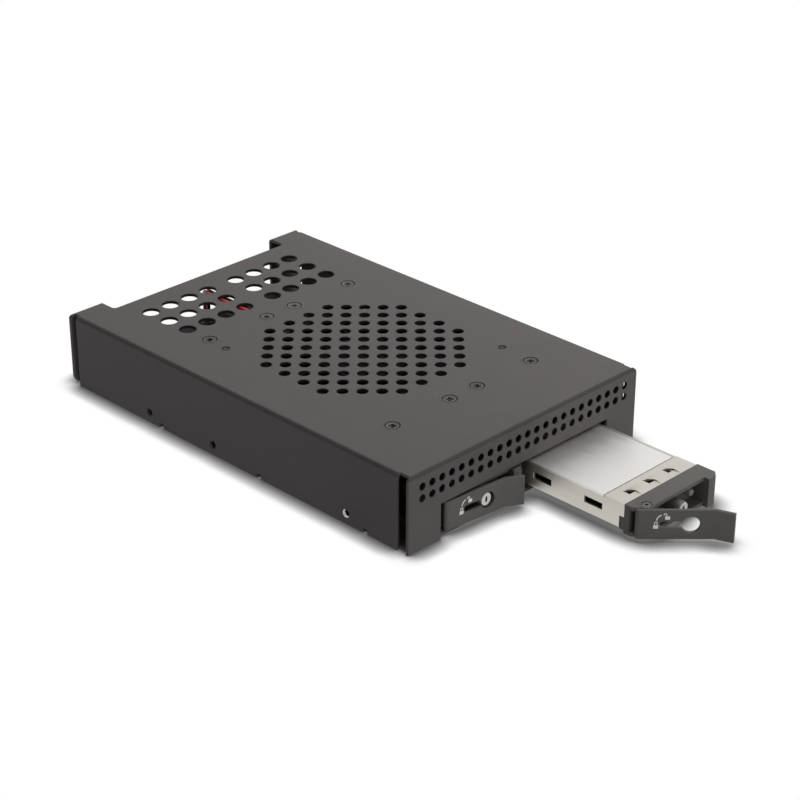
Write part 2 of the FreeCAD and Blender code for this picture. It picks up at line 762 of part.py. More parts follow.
# Circuit board on four standoffs behind the trays, with its screws
board = new_body("board_blank")
board_x = ("-board_width / 2", "board_width / 2")
add_block(board, board_x, (board_front, board_rear), (board_base, board_top))
board_rows = [f"{board_front} + board_post_inset", f"{board_front} + board_post_inset + board_post_gap"]
board_places = []
for sign in (-1, 1):
    for y in board_rows:
        board_places.append(FreeCAD.Vector(sign * value("board_post_x"), value(y), 0))
board_level = [p + UP * (value(board_base) - PAST) for p in board_places]
board_through = value("board_sheet") + 2 * PAST
board_hole = "(board_screw + 2 * screw_fit)"
board_holes = rods("board_holes", board_level, UP, board_hole, board_through, SMALL_SIDES)
node("main_board", cut("board_drilled", board, board_holes))
spacer_foot = UP * value("bottom_sheet")
spacer = prism(spacer_foot, UP, value("board_post_across") / 2, SMALL_SIDES, value("board_lift"))
spacer_bore = prism(spacer_foot, UP, value("board_screw / 2 + screw_fit"), SMALL_SIDES, value("board_lift"))
node("board_standoffs", copies("spacers", spacer.cut(spacer_bore), board_places))
board_screw_profile = [
    ("0", f"{board_top} + board_screw_top"), ("board_screw_head / 2", f"{board_top} + board_screw_top"),
    ("board_screw_head / 2", board_top), ("board_screw / 2", board_top),
    ("board_screw / 2", "bottom_sheet + screw_fit"), ("0", "bottom_sheet + screw_fit"),
]
node("board_screws", copies("board_fixings", many_sided(board_screw_profile, SMALL_SIDES), board_places))

# Sockets that take the trays' board edges
socket_pieces = []
slot_half = "(tongue_width / 2 + tongue_fit)"
slot_rear = f"({tray_rear} + tongue_length + tongue_fit)"
for hand, centre in bay_sides.items():
    socket = new_body(hand + "_socket")
    across = (f"{centre} - socket_width / 2", f"{centre} + socket_width / 2")
    socket_z = (board_top, f"{board_top} + socket_height")
    add_block(socket, across, (board_front, f"{board_front} + socket_depth"), socket_z)
    opening = (f"{centre} - {slot_half}", f"{centre} + {slot_half}")
    slot_z = (f"{carrier_base} - tongue_fit", f"{carrier_top} + tongue_fit")
    cut_block(socket, opening, (f"{board_front} - {PAST}", slot_rear), slot_z)
    socket_pieces.append(socket)
doc.recompute()
node("tray_sockets", loose("sockets", Part.makeCompound([s.Shape for s in socket_pieces])))

# Data ports and power plug along the board's rear edge
port_top = f"({board_top} + port_height)"
port_rear = f"({board_rear} + port_overhang)"
port_pieces = []
for i in range(PORTS):
    port = new_body("port_%d" % i)
    centre = f"(-port_side + {i} * port_pitch)"
    across = (f"{centre} - port_width / 2", f"{centre} + port_width / 2")
    add_block(port, across, (f"{port_rear} - port_depth", port_rear), (board_top, port_top))
    mouth = (f"{centre} - port_width / 2 + port_wall", f"{centre} + port_width / 2 - port_wall")
    mouth_z = (f"{board_top} + port_wall", f"{port_top} - port_wall")
    cut_block(port, mouth, (f"{port_rear} - port_depth / 2", f"{port_rear} + {PAST}"), mouth_z)
    tongue = (f"{centre} - port_width / 2 + 2 * port_wall", f"{centre} + port_width / 2 - 2 * port_wall")
    port_middle = f"({board_top} + {port_top}) / 2"
    tongue_z = (f"{port_middle} - port_wall / 2", f"{port_middle} + port_wall / 2")
    tongue_y = (f"{port_rear} - port_depth / 2 - port_wall", f"{port_rear} - port_wall")
    add_block(port, tongue, tongue_y, tongue_z)
    port_pieces.append(port)
doc.recompute()
node("data_ports", loose("ports", Part.makeCompound([p.Shape for p in port_pieces])))
plug = new_body("power_shroud")
plug_x = ("plug_side - plug_width / 2", "plug_side + plug_width / 2")
add_block(plug, plug_x, (f"{port_rear} - plug_depth", port_rear), (board_top, port_top))
plug_mouth = (f"{plug_x[0]} + port_wall", f"{plug_x[1]} - port_wall")
plug_mouth_z = (f"{board_top} + port_wall", f"{port_top} - port_wall")
cut_block(plug, plug_mouth, (f"{port_rear} - plug_depth + port_wall", f"{port_rear} + {PAST}"), plug_mouth_z)
blade_x = (f"{plug_x[0]} + 2 * port_wall", f"{plug_x[1]} - 2 * port_wall")
blade_z = (f"{port_top} - 2.5 * port_wall", f"{port_top} - 1.5 * port_wall")
add_block(plug, blade_x, (f"{port_rear} - plug_depth + port_wall / 2", f"{port_rear} - port_wall"), blade_z)
node("power_plug", plug)

# Fan lead: two insulated wires from the frame to a header on the board
header_rear = f"({board_rear} - bottom_gap)"
header_y = f"({header_rear} - header_depth / 2)"
header_x = "(-lead_side + lead_pitch / 2)"
header = new_body("lead_header")
header_span = (f"{header_x} - header_width / 2", f"{header_x} + header_width / 2")
header_top = f"({board_top} + header_height)"
add_block(header, header_span, (f"{header_rear} - header_depth", header_rear), (board_top, header_top))
node("fan_header", header)


def wire(name, x):
    """An insulated wire: back along the roof, one bend, then down into the header."""
    start = FreeCAD.Vector(value(x), value("grille_centre + fan_side / 2"), value("lead_height"))
    corner = FreeCAD.Vector(value(x), value(header_y), value("lead_height"))
    end = FreeCAD.Vector(value(x), value(header_y), value(header_top))
    bend = value("lead_bend")
    leave = corner - BACK * bend
    enter = corner - UP * bend
    radius = value("lead_across / 2")
    section = Part.Face(ring(start, BACK, radius, POST_SIDES))
    section.rotate(start, BACK, 180 / POST_SIDES)
    along = section.extrude(leave - start)
    section.translate(leave - start)
    turn = section.revolve(leave - UP * bend, -RIGHT, 90)
    section.rotate(leave - UP * bend, -RIGHT, 90)
    down = section.extrude(end - enter)
    solid = along.multiFuse([turn, down])
    length = (leave - start).Length + bend * math.pi / 2 + (end - enter).Length
    print(name, "volume", round(solid.Volume, 2), "section times length", round(section.Area * length, 2))
    return loose(name, solid)


node("fan_lead_red", wire("red_wire", "-lead_side"))
node("fan_lead_black", wire("black_wire", "-lead_side + lead_pitch"))


# Trays: everything from here on is drawn about the middle of a shut tray's bay
tray_half = "tray_width / 2"
bezel_front = "(pin_setback - lobe)"
bezel_top = strip_top
plate_under = f"({bezel_top} - bezel_plate)"
base_upper = f"({bezel_base} + bezel_plate)"
pin_x = f"(-{tray_half} + pin_inset)"
bezel_right = f"({tray_half} + bezel_overhang)"
lever_low = bezel_base
lever_high = f"({bezel_top} - lever_top_gap)"
lever_middle = f"(({lever_low} + {lever_high}) / 2)"
face_inner = "(lobe + lever_gap)"
face_outer = "(lobe + lever_gap + lever_wall)"
keyhole_reach = f"((-{pin_x} + {face_outer} * sin(lever_shut)) / cos(lever_shut))"


def tray_body(hand):
    """A plated steel tray: floor, two walls with windows and a strip across the front."""
    body = new_body(hand + "_tray_fold")
    low = tray_base
    rim = f"({tray_base} + tray_wall)"
    high = f"({tray_base} + tray_high_wall)"
    inner = f"({tray_half} - tray_sheet)"
    upper = f"({low} + tray_sheet)"
    section = [
        (f"-{tray_half}", low), (tray_half, low), (tray_half, high), (inner, high),
        (inner, upper), ("-" + inner, upper), ("-" + inner, rim), (f"-{tray_half}", rim),
    ]
    pad(body, polygon(body, "XZ_Plane", f"-{tray_rear}", section), "tray_length")
    side = value(tray_half)
    floor = value(low)

    def lower_edge(p, run):
        return abs(run.y) > 0.9 and near(abs(p.x), side) and near(p.z, floor)

    round_edges(body, "tray_bend", lower_edge)
    strip_rear = "(bezel_back + strip_depth)"
    add_block(body, (f"-{tray_half}", tray_half), (tray_front, strip_rear), (rim, strip_top))
    across = (f"-{tray_half} - {PAST}", f"{tray_half} + {PAST}")
    step_z = (f"{low} - {PAST}", f"{low} + step_height")
    cut_block(body, across, (f"{tray_front} - {PAST}", f"{tray_front} + step_depth"), step_z)
    for i in range(WINDOWS):
        start = f"(bezel_back + window_first + {i} * window_pitch)"
        window_z = (f"{low} + window_low", f"{low} + window_low + window_height")
        cut_block(body, across, (start, f"{start} + window_length"), window_z)
    for i in range(FINGERS):
        x = f"(({i} - ({FINGERS} - 1) / 2) * finger_pitch)"
        y = f"({strip_rear} - finger_depth - tray_rim)"
        outline = [
            (f"{x} - finger_width / 2", y), (f"{x} + finger_width / 2", y),
            (f"{x} - finger_width / 2", f"{y} + finger_depth"),
        ]
        pocket(body, polygon(body, "XY_Plane", f"{strip_top} + {PAST}", outline), f"cover_sheet + {2 * PAST}")
    post_x = "(carrier_width / 2 - carrier_post_across / 2)"
    post_y = ["(bezel_back + carrier_front + carrier_post_inset)", f"({tray_rear} - carrier_post_inset)"]
    posts = []
    radius = value("carrier_post_across / 2")
    height = value(f"{carrier_base} - {low}")
    for sign in (-1, 1):
        for y in post_y:
            foot = FreeCAD.Vector(sign * value(post_x), value(y), value(low))
            posts.append(loose(hand + "_post", prism(foot, UP, radius, POST_SIDES, height)))
    return fuse(hand + "_tray_whole", [body] + posts)


def tray_cover(hand):
    """The tray's plated lid, flush with one wall and folded down beside the other."""
    body = new_body(hand + "_cover_fold")
    low = f"({tray_base} + tray_wall)"
    right = f"({tray_half} - tray_sheet - cover_slit)"
    lip = f"({low} - cover_lip)"
    section = [
        (f"-{tray_half}", low), (f"{right} - cover_sheet", low), (f"{right} - cover_sheet", lip),
        (right, lip), (right, strip_top), (f"-{tray_half}", strip_top),
    ]
    pad(body, polygon(body, "XZ_Plane", f"-{tray_rear}", section), "tray_length - strip_depth - cover_seam")
    return body


def bezel(hand):
    """The moulded front: a channel open to the front, with an end post on the right."""
    body = new_body(hand + "_bezel_moulding")
    chamfer_x = f"({pin_x} - lobe * sqrt(0.5))"
    chamfer_y = "(pin_setback - lobe * sqrt(0.5))"
    left = f"(-{tray_half})"
    plan = [
        (left, "bezel_back"), (left, f"{chamfer_y} + {chamfer_x} - {left}"), (chamfer_x, chamfer_y),
        (f"{pin_x} - lobe * (sqrt(2) - 1)", bezel_front), (bezel_right, bezel_front),
        (bezel_right, "bezel_back"),
    ]
    pad(body, polygon(body, "XY_Plane", bezel_base, plan), f"{bezel_top} - {bezel_base}")
    hollow = (f"-{tray_half} - {PAST}", f"{bezel_right} - end_post")
    cut_block(body, hollow, (f"{bezel_front} - {PAST}", "bezel_back - bezel_wall"), (base_upper, plate_under))
    post_left = f"({bezel_right} - end_post)"
    post_plan = [
        (post_left, bezel_front), (post_left, "-end_post_front"),
        (f"{bezel_right} - lobe", "-end_post_front"),
        (bezel_right, f"{bezel_front} - end_post_front"), (bezel_right, bezel_front),
    ]
    pad(body, polygon(body, "XY_Plane", bezel_base, post_plan), f"{bezel_top} - {bezel_base}")
    tab_y = f"({bezel_front} + end_tab_depth)"
    tab_z = (f"{lever_middle} - end_tab_height / 2", f"{lever_middle} + end_tab_height / 2")
    add_block(body, (bezel_right, f"{bezel_right} + end_tab"), (bezel_front, tab_y), tab_z)
    lug_z = (f"{tray_base} + bezel_base_gap", f"{tray_base} + step_height - bezel_base_gap")
    lug_y = ("bezel_back", "bezel_back + step_depth - bezel_base_gap")
    add_block(body, (left, f"{left} + bezel_wall"), lug_y, lug_z)
    add_block(body, (f"{tray_half} - bezel_wall", tray_half), lug_y, lug_z)
    bezel_height = value(f"{bezel_top} - {bezel_base}")
    pin_place = FreeCAD.Vector(value(pin_x), value("pin_setback"), value(bezel_base) - PAST)
    pin_hole = prism(pin_place, UP, value("hinge_pin / 2"), TURNED_SIDES, bezel_height + 2 * PAST)
    seat = FreeCAD.Vector(pin_place.x, pin_place.y, value(f"{bezel_top} - hinge_head_depth"))
    head_seat = prism(seat, UP, value("hinge_head / 2"), TURNED_SIDES, value("hinge_head_depth") + PAST)
    lock_place = FreeCAD.Vector(0, value(bezel_front), value(lever_middle))
    lock_radius = value("lock_neck / 2 + lock_fit")
    lock_hole = running_hole(lock_place, BACK, lock_radius, TURNED_SIDES, value("bezel_back"))
    pipe_place = FreeCAD.Vector(value("pipe_side"), value(bezel_front), value("pipe_height"))
    pipe_hole = prism(pipe_place, BACK, value("pipe_across / 2"), SMALL_SIDES, value("bezel_back"))
    tools = loose(hand + "_bezel_holes", Part.makeCompound([pin_hole.fuse(head_seat), lock_hole, pipe_hole]))
    return cut(hand + "_bezel_drilled", body, tools)


def lever(hand):
    """The tray's lever about its pin: a flared face, a knuckle and a keyhole for the lock."""
    body = new_body(hand + "_lever_moulding")
    bend_in = "(lever_reach + lever_wall * tan(flare_angle / 2))"
    end_x = "(lever_reach + lever_flare * cos(flare_angle))"
    end_y = f"(-{face_outer} - lever_flare * sin(flare_angle))"
    end_out = (end_x, end_y)
    end_in = (f"{end_x} + lever_wall * sin(flare_angle)", f"{end_y} + lever_wall * cos(flare_angle)")
    plan = [
        ("-lever_tail", f"-{face_inner}"), ("-lever_tail", f"-{face_inner} - lever_wall / 2"),
        ("-lever_tail + lever_wall / 2", f"-{face_outer}"), ("lever_reach", f"-{face_outer}"),
        end_out, end_in, (bend_in, f"-{face_inner}"),
    ]
    pad(body, polygon(body, "XY_Plane", lever_low, plan), f"{lever_high} - {lever_low}")
    knuckle_z = (f"{base_upper} + lever_gap", f"{plate_under} - lever_gap")
    add_block(body, ("-lever_knuckle", "lever_knuckle"), (f"-{face_inner} - lever_wall / 2", "0"), knuckle_z)
    low = FreeCAD.Vector(0, 0, value(knuckle_z[0]))
    height = value(f"({knuckle_z[1]}) - ({knuckle_z[0]})")
    eye = loose(hand + "_lever_eye", prism(low, UP, value("lever_knuckle"), TURNED_SIDES, height))
    bore_radius = value("hinge_pin / 2 + hinge_fit")
    bore = running_hole(low - UP * PAST, UP, bore_radius, TURNED_SIDES, height + 2 * PAST)
    deep = value("lever_wall") + 2 * PAST
    centre = FreeCAD.Vector(value(keyhole_reach), value(f"-{face_outer}") - PAST, value(lever_middle))
    eyelet = prism(centre, BACK, value("keyhole / 2"), TURNED_SIDES, deep)
    slot_end = centre - RIGHT * value("keyhole_length")
    nose = prism(slot_end, BACK, value("keyhole_slot / 2"), TURNED_SIDES, deep)
    slot = Part.makeBox(value("keyhole_length"), deep, value("keyhole_slot"))
    slot.translate(slot_end - UP * value("keyhole_slot / 2"))
    holes = loose(hand + "_lever_holes", Part.makeCompound([bore, eyelet.multiFuse([nose, slot])]))
    return cut(hand + "_lever_cut", fuse(hand + "_lever_solid", [body, eye]), holes)


def hinge_pin(hand):
    """The lever's pin, pressed into the bezel from above until its head is flush."""
    neck = f"({bezel_top} - hinge_head_depth)"
    profile = [
        ("0", bezel_top), ("hinge_head / 2", bezel_top), ("hinge_head / 2", neck),
        ("hinge_pin / 2", neck), ("hinge_pin / 2", bezel_base), ("0", bezel_base),
    ]
    return loose(hand + "_pin_turned", many_sided(profile, TURNED_SIDES))


def lock(hand):
    """The lock barrel along Y: a slotted head, a neck in the bezel and a cap behind it."""
    shoulder = BACK * value("bezel_back - bezel_wall - lever_gap")
    rear = BACK * value("bezel_back + lock_fit")
    front = BACK * value("-lock_front")
    head = prism(front, BACK, value("lock_head / 2"), TURNED_SIDES, (shoulder - front).Length)
    neck = prism(shoulder, BACK, value("lock_neck / 2"), TURNED_SIDES, (rear - shoulder).Length)
    cap = prism(rear, BACK, value("lock_head / 2"), TURNED_SIDES, value("lock_cap"))
    slot = value("lock_slot")
    groove = Part.makeBox(value("lock_head"), 2 * slot, slot)
    groove.translate(front - FreeCAD.Vector(value("lock_head / 2"), slot, slot / 2))
    return loose(hand + "_lock_barrel", head.multiFuse([neck, cap]).cut(groove))


def light_pipe(hand):
    """The clear rod that brings light from the tray's board to the front."""
    front = value("pipe_front")
    length = value("bezel_back + carrier_front") - front
    rod = prism(BACK * front, BACK, value("pipe_across / 2"), SMALL_SIDES, length)
    return loose(hand + "_light_rod", rod)


def carrier(hand):
    """The tray's circuit board, with a narrower edge that plugs in at the rear."""
    body = new_body(hand + "_carrier_blank")
    start = "(bezel_back + carrier_front)"
    half = "carrier_width / 2"
    tongue = "tongue_width / 2"
    end = f"({tray_rear} + tongue_length)"
    plan = [
        ("-" + half, start), (half, start), (half, tray_rear), (tongue, tray_rear),
        (tongue, end), ("-" + tongue, end), ("-" + tongue, tray_rear), ("-" + half, tray_rear),
    ]
    pad(body, polygon(body, "XY_Plane", carrier_base, plan), "carrier_sheet")
    return body


def module_socket(hand):
    """The low socket on the tray's board that takes a storage module from the front."""
    body = new_body(hand + "_module_shell")
    rear = f"({tray_rear} - module_rear)"
    front = f"({rear} - module_depth)"
    across = ("-module_width / 2", "module_width / 2")
    add_block(body, across, (front, rear), (carrier_top, f"{carrier_top} + module_height"))
    mouth = (f"{across[0]} + port_wall / 2", f"{across[1]} - port_wall / 2")
    mouth_z = (f"{carrier_top} + module_height / 3", f"{carrier_top} + module_height * 2 / 3")
    cut_block(body, mouth, (f"{front} - {PAST}", f"{front} + module_depth / 2"), mouth_z)
    return body


for hand, centre in bay_sides.items():
    out = "0" if hand == "left" else "pull_out"
    swing = "-lever_shut" if hand == "left" else "-lever_open"
    place = (centre, f"-{out}", "0")
    node(hand + "_tray_body", tray_body(hand), place)
    node(hand + "_tray_cover", tray_cover(hand), place)
    node(hand + "_bezel", bezel(hand), place)
    pin_at = (f"{centre} + {pin_x}", f"pin_setback - {out}", "0")
    node(hand + "_hinge_pin", hinge_pin(hand), pin_at)
    node(hand + "_lever", lever(hand), pin_at, swing)
    node(hand + "_lock", lock(hand), (centre, f"-{out}", lever_middle))
    node(hand + "_light_pipe", light_pipe(hand), (f"{centre} + pipe_side", f"-{out}", "pipe_height"))
    node(hand + "_carrier_board", carrier(hand), place)
    node(hand + "_module_socket", module_socket(hand), place)

# Every object is sound before anything is written
doc.recompute()
for item in doc.Objects:
    if "Invalid" in item.State or "Error" in item.State:
        raise RuntimeError("%s did not build: %s" % (item.Label, item.State))
for item in nodes:
    if item.Shape.isNull() or not item.Shape.isValid() or not item.Shape.Solids:
        raise RuntimeError("%s has no sound shape" % item.Label)
os.makedirs("parts", exist_ok=True)
for item in nodes:
    item.Shape.exportStep("parts/" + item.Label + ".step")
print(len(nodes), "nodes written")
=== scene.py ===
import math
import bmesh
import bpy
from mathutils import Matrix, Vector


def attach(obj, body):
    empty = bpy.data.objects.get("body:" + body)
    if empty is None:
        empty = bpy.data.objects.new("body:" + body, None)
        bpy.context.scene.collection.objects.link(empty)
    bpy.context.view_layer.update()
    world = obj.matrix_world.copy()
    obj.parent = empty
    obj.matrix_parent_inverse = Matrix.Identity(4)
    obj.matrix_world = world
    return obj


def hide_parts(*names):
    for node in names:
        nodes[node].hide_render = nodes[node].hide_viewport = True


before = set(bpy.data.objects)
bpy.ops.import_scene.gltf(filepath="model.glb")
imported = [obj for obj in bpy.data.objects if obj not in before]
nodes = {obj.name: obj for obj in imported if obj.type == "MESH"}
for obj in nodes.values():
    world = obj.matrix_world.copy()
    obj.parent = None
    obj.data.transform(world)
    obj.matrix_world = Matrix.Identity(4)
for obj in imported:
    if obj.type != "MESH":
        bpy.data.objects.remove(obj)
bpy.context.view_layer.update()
MM = 0.001

# Top shell: one steel sheet, punched, folded down on four sides and coated with black powder,
# which leaves a fine orange-peel skin that is rubbed a little at the folds. Its holes are round.
# The solid's holes are six-sided, so a thin lining fills the corners of each one.
CASE_TOP = 25.4
CASE_HALF_DEPTH = 78.5
SHEET = 1.0
COAT_DARK = (0.093, 0.0845, 0.0848)
COAT_LIGHT = (0.106, 0.0965, 0.0968)
COAT_WORN = (0.2, 0.19, 0.188)
COAT_ROUGH = (0.5, 0.62)
SLOPE_SHADE_TONE = 0.55
RECESS_SHADE_DARK = (0.012, 0.0115, 0.0115)
RECESS_SHADE_LIGHT = (0.018, 0.017, 0.017)
CLOUD_DETAIL = 4.0
GRAIN_DETAIL = 2.0
EDGE_SAMPLES = 4
NOISE_SPAN = (0.3, 0.7)
EDGE_BEND = (0.99, 0.8)
EDGE_RUB = 0.5
SLOPE_SPAN = (0.9, 0.98)
GLOSS_SPAN = (0.12, 0.4)
GRILLE_Y = -8.1
GRILLE_STEP = 4.3
GRILLE_HOLE = 4.0
GRILLE_REACH = 5
GRILLE_DIAGONAL = 7
VENT_HOLE = 2.7
VENT_PITCH = 4.1
VENT_COLUMNS = 23
VENT_ROWS = (20.9, 17.06)
REAR_VENT_HOLE = 6.0
REAR_VENT_COLUMNS = (6.2, 14.4, 22.6, 30.8)
REAR_VENT_ROWS = (60.4, 51.1, 41.8)
HOLE_EDGE = 0.12
HOLE_SIDES = 6
LINING_GAP = 0.02
LINING_STEPS = 36
SLEEVE = 0.02
SLEEVE_BACK = 0.05
TURNED_STEPS = 32
WELD = 0.0001


def add(tree, kind, inputs=None, **settings):
    """Adds a node, sets its plain settings, and fills or links its inputs."""
    made = tree.nodes.new(kind)
    for name, setting in settings.items():
        setattr(made, name, setting)
    for name, given in (inputs or {}).items():
        if isinstance(given, bpy.types.NodeSocket):
            tree.links.new(given, made.inputs[name])
        else:
            made.inputs[name].default_value = given
    return made


def ramp(tree, factor, stops):
    """A colour for each value of a factor, blended between stops of (place, colour)."""
    made = add(tree, "ShaderNodeValToRGB", {"Fac": factor})
    elements = made.color_ramp.elements
    for place, colour in stops[1:-1]:
        elements.new(place)
    for element, (place, colour) in zip(elements, stops):
        element.position = place
        element.color = (*colour, 1.0)
    return made.outputs["Color"]


def between(tree, factor, span, low, high):
    """Maps a span of a factor to a range of values."""
    inputs = {"Value": factor, "From Min": span[0], "From Max": span[1], "To Min": low, "To Max": high}
    return add(tree, "ShaderNodeMapRange", inputs).outputs["Result"]


def calc(tree, operation, first, second):
    """The result of one operation on two values."""
    return add(tree, "ShaderNodeMath", {0: first, 1: second}, operation=operation).outputs["Value"]


def finish(name, tones, rough, worn, metal=0.0, cloud=70.0, grain=1400.0, bump=0.15, height=0.03,
           stretch=(1.0, 1.0, 1.0), soft=0.2, gleam=0.4, slope_shade=1.0):
    """A surface with clouded colour, a fine skin, uneven gloss and edges that are rounded and rubbed.

    Sizes are in millimetres, cloud and grain count features in a metre. The slope shade darkens faces
    that slope: painted shade at the folds and on the walls of holes.
    """
    made = bpy.data.materials.new(name)
    made.use_nodes = True
    tree = made.node_tree
    shader = tree.nodes["Principled BSDF"]
    shader.inputs["Metallic"].default_value = metal
    shader.inputs["Specular IOR Level"].default_value = gleam
    place = add(tree, "ShaderNodeTexCoord").outputs["Object"]
    run = add(tree, "ShaderNodeMapping", {"Vector": place, "Scale": stretch}).outputs["Vector"]
    clouds = {"Vector": run, "Scale": cloud, "Detail": CLOUD_DETAIL}
    patches = add(tree, "ShaderNodeTexNoise", clouds).outputs["Fac"]
    grains = {"Vector": run, "Scale": grain, "Detail": GRAIN_DETAIL}
    skin = add(tree, "ShaderNodeTexNoise", grains).outputs["Fac"]
    rounding = {"Radius": soft * MM}
    rounded = add(tree, "ShaderNodeBevel", rounding, samples=EDGE_SAMPLES).outputs["Normal"]
    flat = add(tree, "ShaderNodeNewGeometry").outputs["True Normal"]
    bend = add(tree, "ShaderNodeVectorMath", {0: rounded, 1: flat}, operation="DOT_PRODUCT").outputs["Value"]
    edge = between(tree, bend, EDGE_BEND, 0.0, EDGE_RUB)
    patchy = between(tree, patches, NOISE_SPAN, 0.0, EDGE_RUB)
    rubbed = calc(tree, "ADD", patchy, edge)
    shade = ramp(tree, rubbed, [(0.0, tones[0]), (0.5, tones[1]), (1.0, worn)])
    # Painted shade: faces that slope, at the folds and on the walls of holes, are darkened.
    if slope_shade < 1.0:
        sides = add(tree, "ShaderNodeVectorMath", {0: flat}, operation="ABSOLUTE").outputs["Vector"]
        parts = add(tree, "ShaderNodeSeparateXYZ", {"Vector": sides}).outputs
        level = calc(tree, "MAXIMUM", calc(tree, "MAXIMUM", parts["X"], parts["Y"]), parts["Z"])
        share = between(tree, level, SLOPE_SPAN, slope_shade, 1.0)
        scaled = {0: shade, "Scale": share}
        shade = add(tree, "ShaderNodeVectorMath", scaled, operation="SCALE").outputs["Vector"]
    tree.links.new(shade, shader.inputs["Base Color"])
    gloss = between(tree, calc(tree, "MULTIPLY", patches, skin), GLOSS_SPAN, *rough)
    tree.links.new(gloss, shader.inputs["Roughness"])
    relief = {"Strength": bump, "Distance": height * MM, "Height": skin, "Normal": rounded}
    tree.links.new(add(tree, "ShaderNodeBump", relief).outputs["Normal"], shader.inputs["Normal"])
    return made


def dress(piece, look):
    """Gives a piece one material."""
    piece.data.materials.clear()
    piece.data.materials.append(look)


def solid(name, shape):
    """A new object in the scene for a mesh, a curve, a light or a camera."""
    made = bpy.data.objects.new(name, shape)
    bpy.context.scene.collection.objects.link(made)
    return made


def baked(piece):
    """A plain mesh of a piece with its modifiers or its curve worked out, in place of the piece."""
    depsgraph = bpy.context.evaluated_depsgraph_get()
    mesh = bpy.data.meshes.new_from_object(piece.evaluated_get(depsgraph), depsgraph=depsgraph)
    bpy.data.objects.remove(piece)
    return mesh


def closed(name, points, faces):
    """A mesh from points in millimetres, with its faces turned outwards."""
    mesh = bpy.data.meshes.new(name)
    mesh.from_pydata([Vector(p) * MM for p in points], [], faces)
    work = bmesh.new()
    work.from_mesh(mesh)
    bmesh.ops.remove_doubles(work, verts=work.verts, dist=WELD * MM)
    bmesh.ops.recalc_face_normals(work, faces=work.faces)
    work.to_mesh(mesh)
    work.free()
    return mesh


def smooth(mesh, angle=35):
    """Shades a mesh smooth apart from edges that bend by more than an angle."""
    mesh.polygons.foreach_set("use_smooth", [True] * len(mesh.polygons))
    mesh.set_sharp_from_angle(angle=math.radians(angle))
    return mesh


def repeated(name, template, places, look):
    """Copies a mesh to each place with Geometry Nodes and bakes the copies to one plain mesh."""
    spots = bpy.data.meshes.new(name + "_places")
    spots.from_pydata([Vector(p) * MM for p in places], [], [])
    carrier = solid(name + "_carrier", spots)
    pattern = solid(name + "_pattern", template)
    group = bpy.data.node_groups.new(name, "GeometryNodeTree")
    group.interface.new_socket("Places", in_out="INPUT", socket_type="NodeSocketGeometry")
    piece = group.interface.new_socket("Piece", in_out="INPUT", socket_type="NodeSocketObject")
    surface = group.interface.new_socket("Look", in_out="INPUT", socket_type="NodeSocketMaterial")
    group.interface.new_socket("Copies", in_out="OUTPUT", socket_type="NodeSocketGeometry")
    given = add(group, "NodeGroupInput").outputs
    source = add(group, "GeometryNodeObjectInfo", {"Object": given["Piece"]}).outputs["Geometry"]
    copies = {"Points": given["Places"], "Instance": source}
    spread_out = add(group, "GeometryNodeInstanceOnPoints", copies).outputs["Instances"]
    plain = add(group, "GeometryNodeRealizeInstances", {"Geometry": spread_out}).outputs["Geometry"]
    coated = {"Geometry": plain, "Material": given["Look"]}
    dressed = add(group, "GeometryNodeSetMaterial", coated).outputs["Geometry"]
    add(group, "NodeGroupOutput", {"Copies": dressed})
    modifier = carrier.modifiers.new(name, "NODES")
    modifier.node_group = group
    modifier[piece.identifier] = pattern
    modifier[surface.identifier] = look
    mesh = baked(carrier)
    bpy.data.objects.remove(pattern)
    return solid(name, mesh)


def hoops(rows, steps, looped):
    """Faces between neighbouring rings of points, and back to the first ring where looped."""
    faces = []
    for row in range(rows if looped else rows - 1):
        here = row * steps
        there = (row + 1) % rows * steps
        for i in range(steps):
            after = (i + 1) % steps
            faces.append((here + i, here + after, there + after, there + i))
    return faces


def lining(name, across, turn=None):
    """A ring between a six-sided hole and the round one inside it, with a softened upper edge."""
    hole = across / 2 - LINING_GAP
    wall = hole - HOLE_EDGE
    sector = 2 * math.pi / HOLE_SIDES
    spokes = []
    for i in range(LINING_STEPS):
        angle = 2 * math.pi * i / LINING_STEPS
        spoke = Vector((math.cos(angle), math.sin(angle), 0))
        flat = across / 2 / math.cos(angle % sector - sector / 2)
        section = (
            (flat, 0), (hole, 0), (hole - HOLE_EDGE / 2, 0.3 * HOLE_EDGE), (wall, HOLE_EDGE),
            (wall, SHEET), (flat, SHEET),
        )
        spokes.append([spoke * radius - Vector((0, 0, drop)) for radius, drop in section])
    points = [p for row in zip(*spokes) for p in row]
    if turn is not None:
        points = [turn @ p for p in points]
    return smooth(closed(name, points, hoops(len(spokes[0]), LINING_STEPS, True)), angle=25)


def turned(name, profile, steps=TURNED_STEPS, turn=None):
    """A closed mesh that turns a half outline of (radius, height) about Z."""
    points = []
    for radius, height in profile:
        for i in range(steps):
            angle = 2 * math.pi * i / steps
            points.append(Vector((radius * math.cos(angle), radius * math.sin(angle), height)))
    if turn is not None:
        points = [turn @ p for p in points]
    faces = hoops(len(profile), steps, False)
    if profile[0] != profile[-1]:
        faces.append(tuple(range(steps)))
        faces.append(tuple(range((len(profile) - 1) * steps, len(profile) * steps)))
    return closed(name, points, faces)


def sleeve(name, across, turn=None):
    """A thin ring inside a hole's lining, dark with painted shade on the hole's wall."""
    wall = across / 2 - LINING_GAP - HOLE_EDGE
    back = wall + SLEEVE_BACK
    front = wall - SLEEVE
    outline = [(back, -HOLE_EDGE), (front, -HOLE_EDGE), (front, -SHEET), (back, -SHEET), (back, -HOLE_EDGE)]
    return smooth(turned(name, outline, LINING_STEPS, turn), angle=60)
